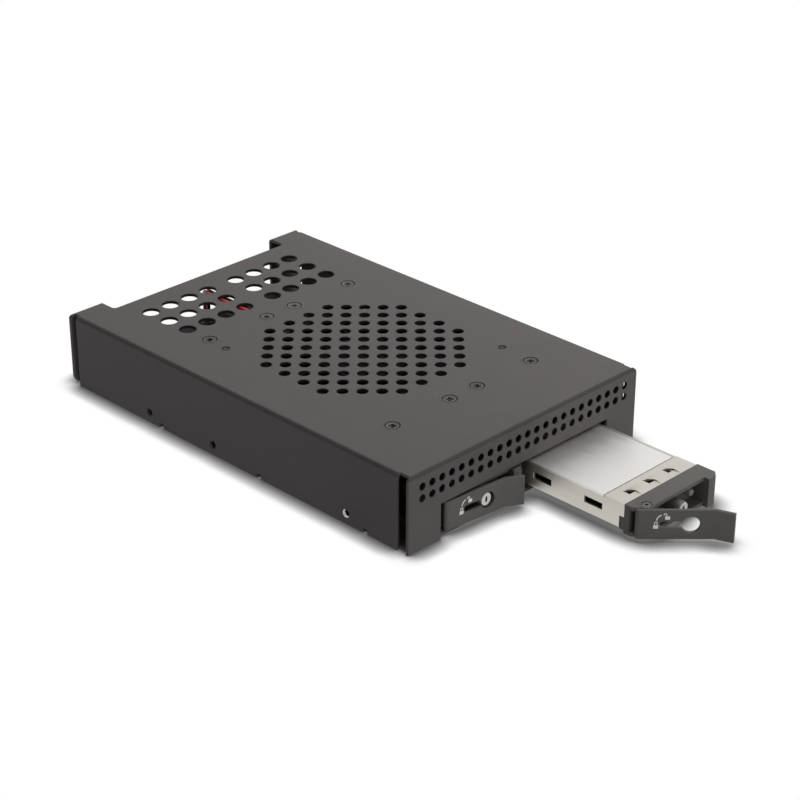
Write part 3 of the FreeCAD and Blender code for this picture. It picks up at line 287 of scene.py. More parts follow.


# The coat's colour is darkened on sloping faces as painted shade at the folds and in the holes.
powder_coat = finish("black_powder_coat", tones=(COAT_DARK, COAT_LIGHT), rough=COAT_ROUGH, worn=COAT_WORN,
                     soft=0.35, gleam=0.12, slope_shade=SLOPE_SHADE_TONE)
# Painted shade: a near-black stand-in for the walls of holes and the gaps round screws and pins, where shade
# falls.
painted_recess_shade = finish("painted_recess_shade", tones=(RECESS_SHADE_DARK, RECESS_SHADE_LIGHT), rough=COAT_ROUGH, worn=RECESS_SHADE_LIGHT,
                      soft=0.02, gleam=0.1)
dress(nodes["top_shell"], powder_coat)
grille_places = []
for i in range(-GRILLE_REACH, GRILLE_REACH + 1):
    for j in range(-GRILLE_REACH, GRILLE_REACH + 1):
        if abs(i) + abs(j) <= GRILLE_DIAGONAL:
            grille_places.append(((i - j) * GRILLE_STEP, GRILLE_Y - (i + j) * GRILLE_STEP, CASE_TOP))
vent_places = []
for height in VENT_ROWS:
    for column in range(VENT_COLUMNS):
        vent_places.append(((column - VENT_COLUMNS // 2) * VENT_PITCH, -CASE_HALF_DEPTH, height))
rear_places = []
for y in REAR_VENT_ROWS:
    for x in REAR_VENT_COLUMNS:
        rear_places += [(x, y, CASE_TOP), (-x, y, CASE_TOP)]
facing_front = Matrix.Rotation(math.radians(90), 3, "X")
for name, across, places, turn in (
    ("grille_holes", GRILLE_HOLE, grille_places, None),
    ("front_vent_holes", VENT_HOLE, vent_places, facing_front),
    ("rear_vent_holes", REAR_VENT_HOLE, rear_places, None),
):
    rims = repeated(name, lining(name + "_lining", across, turn), places, powder_coat)
    # Each hole also gets a sleeve of painted shade on its wall.
    shade_sleeves = repeated(name + "_walls", sleeve(name + "_sleeve", across, turn), places, painted_recess_shade)
    for piece in (rims, shade_sleeves):
        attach(piece, "chassis")

# Cover screws: eight thin countersunk steel screws with a dished face, a cross recess and a black oxide
# finish. Each sits in a pressed dimple of the shell, whose rim stands a hair above the sheet. A dark ring
# of painted shade, just below the head, stands for the gap round its face.
SCREW_COLUMNS = (-30.7, -6.1, 6.1, 30.7)
SCREW_ROWS = (-51.9, 31.0)
SCREW_HEAD = 5.6
SCREW_FACE = 4.1
SCREW_DISH = 0.18
SCREW_PROUD = 0.02
SCREW_EDGE = 0.1
SCREW_GROOVE = 0.45
SCREW_THREAD = 2.9
SCREW_LENGTH = 7.0
RING_WIDTH = 0.42
RING_DEPTH = 0.08
RING_LIP = 0.12
DIMPLE = 6.5
DIMPLE_RISE = 0.05
DIMPLE_SLOPE = 0.15
DIMPLE_FOOT = 0.2
CROSS_LENGTH = 2.6
CROSS_WIDTH = 1.1
CROSS_DEPTH = 1.0
CROSS_EDGE = 0.06
CROSS_TURN = math.pi / 4
CUT_PAST = 1.0
BEVEL_ANGLE = 30


def prism(name, outline, low, high, place):
    """A closed mesh between two levels over a flat outline; place sets a point of the outline."""
    count = len(outline)
    points = [Vector(place(a, b, level)) for level in (low, high) for a, b in outline]
    faces = [tuple(range(count)), tuple(range(count, 2 * count))]
    for i in range(count):
        after = (i + 1) % count
        faces.append((i, after, count + after, count + i))
    return closed(name, points, faces)


def shaped(name, mesh, tools, edge=0.0, segments=2):
    """Joins and cuts a mesh with others, softens its edges and bakes the result.

    Tools are pairs of "UNION" or "DIFFERENCE" and a mesh.
    """
    work = solid(name + "_work", mesh)
    helpers = []
    for operation, tool in tools:
        helper = solid(name + "_tool", tool)
        helpers.append(helper)
        step = work.modifiers.new(operation, "BOOLEAN")
        step.operation = operation
        step.solver = "EXACT"
        step.object = helper
    if edge:
        bevel = work.modifiers.new("edges", "BEVEL")
        bevel.width = edge * MM
        bevel.segments = segments
        bevel.limit_method = "ANGLE"
        bevel.angle_limit = math.radians(BEVEL_ANGLE)
    made = baked(work)
    for helper in helpers:
        bpy.data.objects.remove(helper)
    made.name = name
    return smooth(made)


def upright(x, y, z):
    """Leaves a flat outline level."""
    return (x, y, z)


def cross(name, turn, length, width, low, high):
    """Two crossed bars that cut a recess between two levels."""
    half, side = length / 2, width / 2
    cuts = []
    for angle in (turn, turn + math.pi / 2):
        cos, sin = math.cos(angle), math.sin(angle)
        corners = ((-half, -side), (half, -side), (half, side), (-half, side))
        bar = [(x * cos - y * sin, x * sin + y * cos) for x, y in corners]
        cuts.append(("DIFFERENCE", prism(name, bar, low, high, upright)))
    return cuts


# The screws' light edge tone is partly wear and partly painted highlight, where the face and the recess
# catch the light.
black_oxide = finish("black_oxide", tones=((0.06, 0.058, 0.057), (0.1, 0.097, 0.095)), rough=(0.26, 0.38),
                     worn=(0.55, 0.54, 0.53), metal=0.9, grain=2600.0, soft=0.18)
head = SCREW_HEAD / 2
face = SCREW_FACE / 2
gap_rim = face + RING_WIDTH
dimple_rim = DIMPLE / 2
screw_outline = [
    (CROSS_WIDTH, -SCREW_DISH), (face - SCREW_EDGE, SCREW_PROUD),
    (face - 0.2 * SCREW_EDGE, SCREW_PROUD - 0.4 * SCREW_EDGE), (face, -SCREW_GROOVE),
    (head - SCREW_EDGE, -SCREW_GROOVE), (SCREW_THREAD / 2, -SHEET), (SCREW_THREAD / 2, -SCREW_LENGTH),
]
recess = cross("recess_arm", CROSS_TURN, CROSS_LENGTH, CROSS_WIDTH, -CROSS_DEPTH, CUT_PAST)
screw_mesh = shaped("cross_screw", turned("screw_blank", screw_outline), recess, edge=CROSS_EDGE)
screw_places = [(x, y, CASE_TOP) for x in SCREW_COLUMNS for y in SCREW_ROWS]
screws = repeated("cover_screw_set", screw_mesh, screw_places, black_oxide)
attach(screws, "chassis")
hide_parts("cover_screws")
dimple_outline = [
    (dimple_rim, -DIMPLE_FOOT), (dimple_rim, 0.0), (dimple_rim - DIMPLE_SLOPE, 0.6 * DIMPLE_RISE),
    (gap_rim + RING_LIP, DIMPLE_RISE), (gap_rim, 0.0), (gap_rim, -DIMPLE_FOOT), (dimple_rim, -DIMPLE_FOOT),
]
dimple_mesh = smooth(turned("dimple_rim", dimple_outline), angle=60)
dimples = repeated("screw_dimples", dimple_mesh, screw_places, powder_coat)
# Painted shade: a near-black ring just below the head, where the gap round the face lies in shade.
gap_shade_outline = [
    (face, -RING_DEPTH), (gap_rim, -RING_DEPTH), (gap_rim, -SCREW_GROOVE), (face, -SCREW_GROOVE),
    (face, -RING_DEPTH),
]
gap_shade_rings = repeated("screw_gaps", smooth(turned("gap_ring", gap_shade_outline)), screw_places, painted_recess_shade)
for piece in (dimples, gap_shade_rings):
    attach(piece, "chassis")

# Locating pins: two turned steel pins, darkened and rounded at the end, which stand on the guides.
# Their ends show in round holes of the shell, whose rims are drawn up a hair. A dark ring of painted
# shade lines each hole round its pin.
PIN_PLACES = ((-31.4, 22.4), (31.4, -39.1))
PIN_FOOT = 12.4
PIN_TOP = 25.3
PIN = 2.0
PIN_DOME = ((0.3, 0.0), (0.08, 0.06), (0.0, 0.3))
PIN_HOLE = 3.0
RIM_WIDTH = 0.35
RIM_CREST = 0.1
RIM_LAP = 0.1
PIN_GAP_DEPTH = 0.15
plated_pin = finish("plated_pin", tones=((0.02, 0.02, 0.019), (0.035, 0.034, 0.033)), rough=(0.3, 0.45),
                    worn=(0.12, 0.117, 0.112), metal=0.7, grain=3000.0, soft=0.1)
pin_outline = [(PIN / 2 - inset, PIN_TOP - drop) for inset, drop in PIN_DOME]
pin_outline.append((PIN / 2, PIN_FOOT))
pin_feet = [(x, y, 0) for x, y in PIN_PLACES]
pins = repeated("locating_pin_set", smooth(turned("pin_blank", pin_outline)), pin_feet, plated_pin)
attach(pins, "chassis")
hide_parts("locating_pins")
hole = PIN_HOLE / 2
rim_outline = [
    (hole + RIM_WIDTH, -DIMPLE_FOOT), (hole + RIM_WIDTH, 0.0), (hole + RIM_CREST, DIMPLE_RISE),
    (hole - 0.6 * RIM_LAP, 0.0), (hole - RIM_LAP, -DIMPLE_FOOT / 2), (hole - RIM_LAP, -DIMPLE_FOOT),
    (hole + RIM_WIDTH, -DIMPLE_FOOT),
]
# Painted shade: a near-black ring in the hole round the pin.
pin_gap_shade_outline = [
    (hole - RIM_LAP, -PIN_GAP_DEPTH), (PIN / 2, -2 * PIN_GAP_DEPTH), (PIN / 2, -SHEET),
    (hole + SLEEVE_BACK, -SHEET), (hole + SLEEVE_BACK, -PIN_GAP_DEPTH), (hole - RIM_LAP, -PIN_GAP_DEPTH),
]
pin_holes = [(x, y, CASE_TOP) for x, y in PIN_PLACES]
pin_rim = smooth(turned("pin_rim", rim_outline), angle=60)
pin_rims = repeated("pin_hole_rims", pin_rim, pin_holes, powder_coat)
pin_gap_shades = repeated("pin_hole_gaps", smooth(turned("pin_gap", pin_gap_shade_outline)), pin_holes, painted_recess_shade)
for piece in (pin_rims, pin_gap_shades):
    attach(piece, "chassis")

# Side threads: six holes low in the side walls, tapped in the shell's own steel, which take the screws
# that fix the rack in its bay. The coat covers them, but leaves the front pair's threads bare.
SIDE_HALF = 50.8
SIDE_ROWS = (-52.5, 7.5, 38.5)
SIDE_HEIGHT = 3.6
SIDE_THREAD = 2.9
THREAD_CREST = 1.16
THREAD_ROOT = 1.34
THREAD_BACK = THREAD_ROOT + 0.1
THREAD_PITCH = 0.3
THREAD_TURNS = 3
THREAD_LIP = 0.04
THREAD_FIRST = 0.06
bare_steel = finish("bare_steel", tones=((0.5, 0.49, 0.475), (0.62, 0.61, 0.595)), rough=(0.2, 0.32),
                    worn=(0.8, 0.79, 0.77), metal=1.0, grain=3000.0, soft=0.08)
thread_outline = [(THREAD_BACK, -THREAD_LIP)]
for i in range(THREAD_TURNS):
    thread_outline.append((THREAD_ROOT, -THREAD_FIRST - i * THREAD_PITCH))
    thread_outline.append((THREAD_CREST, -THREAD_FIRST - (i + 0.5) * THREAD_PITCH))
thread_outline += [(THREAD_BACK, -SHEET), (THREAD_BACK, -THREAD_LIP)]
for side, facing_out in (("left", -90), ("right", 90)):
    outward = Matrix.Rotation(math.radians(facing_out), 3, "Y")
    wall = math.copysign(SIDE_HALF, facing_out)
    rows = [(wall, y, SIDE_HEIGHT) for y in SIDE_ROWS]
    side_lining = lining(side + "_side_lining", SIDE_THREAD, outward)
    rims = repeated(side + "_side_holes", side_lining, rows, powder_coat)
    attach(rims, "chassis")
    for name, places, look in (("front", rows[:1], bare_steel), ("rear", rows[1:], powder_coat)):
        thread = smooth(turned("thread_blank", thread_outline, turn=outward))
        threads = repeated(side + "_" + name + "_threads", thread, places, look)
        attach(threads, "chassis")

# Bottom plate: a flat steel sheet with the same black powder coat as the shell, which closes the case
# from below. Its tabs sit in notches of the side walls' lower edges.
dress(nodes["bottom_plate"], powder_coat)

# Tray guides and standoffs: the guides are folded from plated sheet with a fine rolled grain, whose dark
# tone is painted shade for the inside of the case, and the standoffs are cut from bright plated bar. The
# cover screws end in the guides' standoffs.
PLATE_DARK = (0.5, 0.49, 0.465)
PLATE_LIGHT = (0.62, 0.61, 0.58)
PLATE_WORN = (0.8, 0.79, 0.76)
ROLLED_GRAIN = {"cloud": 40.0, "grain": 900.0, "bump": 0.06, "height": 0.01, "stretch": (1.0, 0.05, 1.0)}
shaded_guide_plate = finish("shaded_guide_plate", tones=((0.07, 0.068, 0.066), (0.1, 0.098, 0.095)), rough=(0.35, 0.5),
                     worn=(0.3, 0.29, 0.28), metal=0.8, **ROLLED_GRAIN)
rolled_plate = finish("zinc_plate", tones=(PLATE_DARK, PLATE_LIGHT), rough=(0.28, 0.44), worn=PLATE_WORN,
                      metal=1.0, **ROLLED_GRAIN)
for name, look in (
    ("left_cage", shaded_guide_plate), ("right_cage", shaded_guide_plate), ("cage_standoffs", rolled_plate),
    ("board_standoffs", rolled_plate),
):
    dress(nodes[name], look)

# Inner screws: plated steel pan-head screws with a cross recess. Four hold the fan by the corners of
# its frame, and four hold the rear board on its standoffs.
FAN_HOLE_SPAN = 50.0
FAN_TOP = 22.4
FAN_SCREW_HEAD = 2.8
FAN_SCREW_RISE = 1.6
FAN_SCREW_FOOT = 11.6
BOARD_SCREW_X = 41.5
BOARD_SCREW_ROWS = (42.5, 56.5)
BOARD_TOP = 4.6
BOARD_SCREW_HEAD = 2.2
BOARD_SCREW_RISE = 1.2
BOARD_SCREW_SHANK = 1.0
BOARD_SCREW_FOOT = 1.05
PAN_DOME = ((0.55, 0.0), (0.85, 0.12), (1.0, 0.45))
PAN_CROSS_LENGTH = 1.1
PAN_CROSS_WIDTH = 0.22
PAN_CROSS_DEPTH = 0.6
PAN_EDGE = 0.05


def pan_screw(name, head, shank, foot, seat, top):
    """A domed screw with a cross recess, from its foot to its top."""
    outline = [(share * head, top - drop) for share, drop in PAN_DOME]
    outline += [(head, seat), (shank, seat), (shank, foot)]
    length, width = PAN_CROSS_LENGTH * head, PAN_CROSS_WIDTH * head
    cuts = cross("pan_recess", 0.0, length, width, top - PAN_CROSS_DEPTH, top + CUT_PAST)
    return shaped(name, turned(name + "_blank", outline), cuts, edge=PAN_EDGE)


fan_reach = FAN_HOLE_SPAN / 2
fan_corners = [(x, GRILLE_Y + y, 0) for x in (-fan_reach, fan_reach) for y in (-fan_reach, fan_reach)]
board_corners = [(x, y, 0) for x in (-BOARD_SCREW_X, BOARD_SCREW_X) for y in BOARD_SCREW_ROWS]
fan_screw = pan_screw("fan_screw", FAN_SCREW_HEAD, SCREW_THREAD / 2, FAN_SCREW_FOOT, FAN_TOP,
                      FAN_TOP + FAN_SCREW_RISE)
board_screw = pan_screw("board_screw", BOARD_SCREW_HEAD, BOARD_SCREW_SHANK, BOARD_SCREW_FOOT, BOARD_TOP,
                        BOARD_TOP + BOARD_SCREW_RISE)
for name, screw, places in (
    ("fan_screws", fan_screw, fan_corners), ("board_screws", board_screw, board_corners),
):
    set_of_four = repeated(name + "_set", screw, places, rolled_plate)
    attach(set_of_four, "chassis")
    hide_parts(name)

# Fan: a black moulded frame, held by four screws, and a rotor moulded in one with its seven blades,
# which is slightly glossier. The rotor turns on the middle of the frame.
FAN_WORN = (0.02, 0.02, 0.02)
# Both blacks are darker than the plastic's own: painted shade, where the fan shows under the grille.
shaded_fan_moulding = finish("shaded_fan_moulding", tones=((0.006, 0.006, 0.006), (0.009, 0.009, 0.009)),
                      rough=(0.5, 0.65), worn=FAN_WORN, grain=2000.0, gleam=0.1)
shaded_rotor_moulding = finish("shaded_rotor_moulding", tones=((0.006, 0.006, 0.0065), (0.009, 0.009, 0.0095)),
                        rough=(0.4, 0.52), worn=FAN_WORN, grain=2400.0, bump=0.08, gleam=0.15)
dress(nodes["fan_frame"], shaded_fan_moulding)
dress(nodes["fan_rotor"], shaded_rotor_moulding)

# Circuit boards: glass laminate under solder mask, which shows the traces below as faint ridges. The
# rear board is green and is screwed to its standoffs, and the trays' boards are black.
TRACE_RELIEF = {"cloud": 300.0, "grain": 700.0, "bump": 0.2, "height": 0.03}
mask_green = finish("solder_mask", tones=((0.008, 0.05, 0.022), (0.012, 0.075, 0.034)), rough=(0.28, 0.4),
                    worn=(0.2, 0.2, 0.12), **TRACE_RELIEF)
mask_black = finish("black_mask", tones=((0.006, 0.007, 0.006), (0.01, 0.012, 0.01)), rough=(0.3, 0.42),
                    worn=(0.1, 0.09, 0.05), **TRACE_RELIEF)
dress(nodes["main_board"], mask_green)
dress(nodes["left_carrier_board"], mask_black)
dress(nodes["right_carrier_board"], mask_black)

# Connectors: sockets, ports and power plug moulded in black glass-filled plastic, and a dark header for
# the fan's lead. All of them are soldered to the boards.
connector_black = finish("connector_moulding", tones=((0.007, 0.007, 0.0075), (0.011, 0.011, 0.0115)),
                         rough=(0.5, 0.65), worn=(0.03, 0.03, 0.03), grain=1800.0, gleam=0.1)
header_dark = finish("header_moulding", tones=((0.02, 0.019, 0.017), (0.03, 0.028, 0.025)),
                     rough=(0.45, 0.6), worn=(0.06, 0.056, 0.05), grain=1800.0, gleam=0.15)
for name in ("tray_sockets", "data_ports", "power_plug", "left_module_socket", "right_module_socket"):
    dress(nodes[name], connector_black)
dress(nodes["fan_header"], header_dark)

# Contacts: gold-flashed strips, pressed into the tongues of the rear ports and the power plug, and
# gold-plated pads along the rear edge of each tray's board.
PORT_REAR = 70.9
TONGUE_END = PORT_REAR - 1.2
CONTACT_LENGTH = 6.5
CONTACT_PITCH = 1.27
CONTACT_RISE = 0.04
CONTACT_SUNK = 0.8
STRIP_BEVEL = 0.05
STRIP_SHOULDER = 0.03
# Each port: its middle, its number of contacts, the height of its tongue and a contact's width
PORTS = {
    "outer_port": (-30.0, 7, 8.2, 0.6), "inner_port": (-13.0, 7, 8.2, 0.6), "power": (18.0, 15, 8.8, 0.7),
}
PAD_COUNT = 21
PAD_PITCH = 1.0
PAD_WIDTH = 0.6
PAD_SUNK = 0.3
TRAY_REAR = 116.0
PAD_FRONT = TRAY_REAR + 0.8
EDGE_END = 121.5
PAD_END = EDGE_END - 0.2
TRAY_SIDE = 18.4
PULL_OUT = 45.0
TRAYS = {
    "left": Vector((-TRAY_SIDE, -CASE_HALF_DEPTH, 0)),
    "right": Vector((TRAY_SIDE, -CASE_HALF_DEPTH - PULL_OUT, 0)),
}


def facing(x, z, y):
    """Lays a flat outline upright, facing the front."""
    return (x, y, z)


def strip(name, width, front, rear, low, high):
    """A contact with a rounded upper edge, along Y."""
    half = width / 2
    flank = high - STRIP_SHOULDER
    crown = half - STRIP_BEVEL
    section = [(-half, low), (half, low), (half, flank), (crown, high), (-crown, high), (-half, flank)]
    return prism(name, section, front, rear, facing)


gold_flash = finish("gold_flash", tones=((0.72, 0.5, 0.2), (0.82, 0.6, 0.27)), rough=(0.2, 0.32),
                    worn=(0.9, 0.74, 0.45), metal=1.0, grain=2600.0, bump=0.06, soft=0.05)
for name, (centre, count, tongue_top, width) in PORTS.items():
    blank = strip(name + "_contact", width, TONGUE_END - CONTACT_LENGTH, TONGUE_END + CONTACT_RISE,
                  tongue_top - CONTACT_SUNK, tongue_top + CONTACT_RISE)
    places = [(centre + (i - count // 2) * CONTACT_PITCH, 0, 0) for i in range(count)]
    contact_row = repeated(name + "_contacts", blank, places, gold_flash)
    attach(contact_row, "chassis")
for hand, place in TRAYS.items():
    edge_top = max(v.co.z for v in nodes[hand + "_carrier_board"].data.vertices) / MM
    pad = strip(hand + "_pad", PAD_WIDTH, PAD_FRONT, PAD_END, edge_top - PAD_SUNK, edge_top + CONTACT_RISE)
    places = [place + Vector(((i - PAD_COUNT // 2) * PAD_PITCH, 0, 0)) for i in range(PAD_COUNT)]
    pads = repeated(hand + "_edge_pads", pad, places, gold_flash)
    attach(pads, hand + "_tray")

# Fan lead: two wires with smooth soft insulation, one red and one black. They leave the fan's frame,
# pass over the trays and go down to the header on the rear board.
LEAD_BOW = -3.2
# Each point of the route: its share of the sideways bow, then y and z
LEAD_ROUTE = (
    (0.0, 21.9, 21.5), (0.2, 28.0, 22.6), (0.8, 40.0, 23.5), (1.0, 52.0, 23.5), (0.9, 62.0, 23.3),
    (0.1, 66.85, 22.0), (0.0, 66.85, 16.0), (0.0, 66.85, 10.6),
)
LEAD_ACROSS = 1.3
LEADS = {
    # The red is the insulation's own, raised further as painted light that makes up for the shade in the
    # case.
    "red": (-2.4, ((0.72, 0.05, 0.06), (0.8, 0.075, 0.085)), (0.85, 0.15, 0.15)),
    "black": (-0.8, ((0.012, 0.012, 0.012), (0.02, 0.02, 0.02)), (0.05, 0.05, 0.05)),
}
for colour, (x, tones, worn) in LEADS.items():
    insulation = finish(colour + "_sleeve", tones=tones, rough=(0.35, 0.48), worn=worn, grain=2600.0,
                        bump=0.08)
    path = bpy.data.curves.new("lead_path", "CURVE")
    path.dimensions = "3D"
    spline = path.splines.new("NURBS")
    spline.points.add(len(LEAD_ROUTE) - 1)
    for point, (bow, y, z) in zip(spline.points, LEAD_ROUTE):
        point.co = ((x + bow * LEAD_BOW) * MM, y * MM, z * MM, 1.0)
    spline.order_u = 3
    spline.use_endpoint_u = True
    path.bevel_depth = LEAD_ACROSS / 2 * MM
    path.bevel_resolution = 4
    path.use_fill_caps = True
    tube = baked(solid("lead_line", path))
    lead = solid("fan_lead_" + colour + "_wire", smooth(tube, angle=60))
    dress(lead, insulation)
    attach(lead, "chassis")
    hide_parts("fan_lead_" + colour)

# Trays and lids: zinc-plated sheet, brushed by rolling, with a satin lid that mirrors the dark front
# panel softly. The spot-welded lid keeps a hairline seam along the tray's right wall.
tray_plate = finish("tray_plate", tones=((0.5, 0.478, 0.43), (0.6, 0.575, 0.522)), rough=(0.34, 0.5),
                    worn=(0.8, 0.78, 0.74), metal=1.0, cloud=30.0, grain=800.0, bump=0.05, height=0.01,
                    stretch=(1.0, 0.08, 1.0))
lid_plate = finish("lid_plate", tones=((0.68, 0.664, 0.652), (0.77, 0.754, 0.742)), rough=(0.38, 0.5),
                   worn=(0.86, 0.85, 0.84), metal=1.0, cloud=16.0, grain=800.0, bump=0.04, height=0.01,
                   stretch=(1.0, 0.12, 1.0))
for hand in TRAYS:
    dress(nodes[hand + "_tray_body"], tray_plate)
    dress(nodes[hand + "_tray_cover"], lid_plate)

# Spring fingers: three tongues lanced in the strip behind each tray's front and pressed up at their
# left end, so that they rub on the guide. They are the tray's own plated sheet.
FINGERS = (-9.05, 0.0, 9.05)
STRIP_TOP = 11.1
FINGER_LEFT_REAR = -1.1
FINGER_LEFT_FRONT = 0.5
FINGER_SLANT = 0.47
FINGER_RIGHT = 5.0
FINGER_REAR = 13.2
FINGER_FRONT = 8.3
FINGER_PROUD = 0.02
FINGER_RISE = 0.42
FINGER_CURL = 1.4
FINGER_ARCH_START = 0.12
FINGER_SHEET = 0.3
FINGER_STEPS = 12


def finger_point(along, across, layer):
    """A point of the finger's upper or lower face, from its left end and from its rear edge."""
    arch = math.sin(math.pi * (FINGER_ARCH_START + (1 - FINGER_ARCH_START) * across))
    rise = FINGER_PROUD + FINGER_RISE * (1 - along) ** FINGER_CURL * arch
    slant = min(across / FINGER_SLANT, 1.0)
    left = FINGER_LEFT_REAR + slant * (FINGER_LEFT_FRONT - FINGER_LEFT_REAR)
    x = left + along * (FINGER_RIGHT - left)
    y = FINGER_REAR + across * (FINGER_FRONT - FINGER_REAR)
    return (x, y, STRIP_TOP + rise - layer * FINGER_SHEET)


def finger():
    """A closed sheet that is level at its right and front and arched at its left end."""
    count = FINGER_STEPS + 1
    sheet = count * count
    last = count * FINGER_STEPS
    shares = [i / FINGER_STEPS for i in range(count)]
    points = []
    for layer in range(2):
        for along in shares:
            points += [finger_point(along, across, layer) for across in shares]
    faces = []
    for first in (0, sheet):
        for i in range(FINGER_STEPS):
            for j in range(FINGER_STEPS):
                here = first + i * count + j
                faces.append((here, here + 1, here + count + 1, here + count))
    for step in range(FINGER_STEPS):
        row = step * count
        for here, after in (
            (step, step + 1), (last + step, last + step + 1), (row, row + count),
            (row + FINGER_STEPS, row + count + FINGER_STEPS),
        ):
            faces.append((here, after, after + sheet, here + sheet))
    return smooth(closed("spring_finger", points, faces), angle=40)


for hand, place in TRAYS.items():
    places = [place + Vector((x, 0, 0)) for x in FINGERS]
    fingers = repeated(hand + "_spring_fingers", finger(), places, tray_plate)
    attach(fingers, hand + "_tray")

# Tray fronts: dark grey moulded channels with a fine spark texture, fixed to the front ends of the trays.
# Their edges are slightly rubbed by the hands that pull the trays.
moulding = finish("front_moulding", tones=((0.098, 0.092, 0.087), (0.115, 0.109, 0.103)), rough=(0.5, 0.62),
                  worn=(0.2, 0.193, 0.186), grain=2200.0, bump=0.12, soft=0.3, gleam=0.2)
for hand in TRAYS:
    dress(nodes[hand + "_bezel"], moulding)

# Hinge pins: turned steel pins with a flat head and a small centre mark, pressed from above into a
# ringed boss of the tray's front. Each carries its tray's lever.
HINGE_PLACE = Vector((-12.4, 3.6, 0))
HINGE_HEAD = 1.85
HINGE_RIM = 1.5
HINGE_ROUND = 0.18
HINGE_PROUD = 0.02
HINGE_DROP = 0.1
HINGE_FLANGE = 0.08
HINGE_SHANK = 0.8
HINGE_FOOT = 1.3
HINGE_NECK = 10.5
MARK = 0.4
MARK_DEPTH = 0.6
MARK_EDGE = 0.12
BOSS = 2.35
BOSS_RISE = 0.06
BOSS_FIT = 0.03
BOSS_EDGE = 0.12
BOSS_SUNK = 0.3
pin_steel = finish("pin_steel", tones=((0.1, 0.097, 0.094), (0.15, 0.146, 0.142)), rough=(0.3, 0.42),
                   worn=(0.4, 0.39, 0.38), metal=0.8, grain=2600.0, soft=0.1)
hinge_outline = [
    (MARK, STRIP_TOP - MARK_DEPTH), (MARK + MARK_EDGE, STRIP_TOP - MARK_EDGE / 2),
    (MARK + 2 * MARK_EDGE, STRIP_TOP + HINGE_PROUD), (HINGE_RIM - HINGE_ROUND, STRIP_TOP + HINGE_PROUD),
    (HINGE_RIM, STRIP_TOP - HINGE_DROP), (HINGE_RIM, HINGE_NECK + 1.5 * HINGE_FLANGE),
    (HINGE_HEAD, HINGE_NECK + HINGE_FLANGE), (HINGE_HEAD, HINGE_NECK),
    (HINGE_SHANK, HINGE_NECK), (HINGE_SHANK, HINGE_FOOT),
]
boss_bore = HINGE_HEAD + BOSS_FIT
boss_outline = [
    (boss_bore, STRIP_TOP - BOSS_SUNK), (boss_bore, STRIP_TOP),
    (HINGE_HEAD + BOSS_EDGE, STRIP_TOP + BOSS_RISE), (BOSS - BOSS_EDGE, STRIP_TOP + BOSS_RISE),
    (BOSS, STRIP_TOP), (BOSS, STRIP_TOP - BOSS_SUNK), (boss_bore, STRIP_TOP - BOSS_SUNK),
]
for hand, place in TRAYS.items():
    hinge = [place + HINGE_PLACE]
    pin = repeated(hand + "_pin_turning", smooth(turned("pin_blank", hinge_outline)), hinge, pin_steel)
    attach(pin, hand + "_tray")
    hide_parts(hand + "_hinge_pin")
    boss = repeated(hand + "_pin_boss", smooth(turned("boss_ring", boss_outline)), hinge, moulding)
    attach(boss, hand + "_tray")

# Levers: moulded plates with a rounded tail, a flared finger end, a knuckle on the pin and a keyhole that
# passes over the lock. Two white padlock signs, joined by an arc, are printed on the face.
LEVER_TURNS = {"left": -6.6, "right": -45.0}
LEVER_LOW = 1.3
LEVER_HIGH = 11.0
FACE_OUT = -3.4
FACE_IN = -2.2
LEVER_TAIL = -3.4
LEVER_REACH = 19.8
FLARE_LENGTH = 5.9
FLARE_ANGLE = math.radians(24)
KNUCKLE = 2.0
KNUCKLE_LOW = 2.8
KNUCKLE_HIGH = 9.6
KNUCKLE_BORE = 0.88
LOCK_HEIGHT = 6.15
KEYHOLE_X = 12.88
KEYHOLE = 2.7
KEYHOLE_PAST = 0.5
SLOT_HALF = 1.1
SLOT_LENGTH = 8.2
LEVER_EDGE = 0.22
PRINT_RISE = 0.03
SHUT_BODY = (2.6, 5.5)
SHUT_BODY_SIZE = (1.5, 1.15)
SHUT_BOW = (2.6, 6.75)
SHUT_BOW_FEET = (6.0, 6.0)
OPEN_BODY = (5.9, 8.5)
OPEN_BODY_SIZE = (1.45, 1.1)
OPEN_BOW = (5.25, 9.55)
OPEN_BOW_FEET = (9.3, 9.0)
BODY_CORNER = 0.12
BOW_OUT = 0.52
BOW_IN = 0.26
SIGN_ARC = (5.0, 7.3)
SIGN_ARC_RADIUS = 2.3
SIGN_ARC_WIDTH = 0.36
SIGN_ARC_START = 171
SIGN_ARC_END = 112


def arc(centre, radius, start, end, steps=16):
    """Points along an arc about a centre, with angles in degrees."""
    points = []
    for i in range(steps + 1):
        angle = math.radians(start + (end - start) * i / steps)
        points.append((centre[0] + radius * math.cos(angle), centre[1] + radius * math.sin(angle)))
    return points


def band(centre, radius, width, start, end):
    """The outline of a stripe that follows an arc."""
    return arc(centre, radius + width / 2, start, end) + arc(centre, radius - width / 2, end, start)


def oblong(centre, width, height, corner):
    """The outline of a rectangle with round corners."""
    outline = []
    for right, up, start in ((1, 1, 0), (-1, 1, 90), (-1, -1, 180), (1, -1, 270)):
        middle = (centre[0] + right * (width / 2 - corner), centre[1] + up * (height / 2 - corner))
        outline += arc(middle, corner, start, start + 90, steps=4)
    return outline


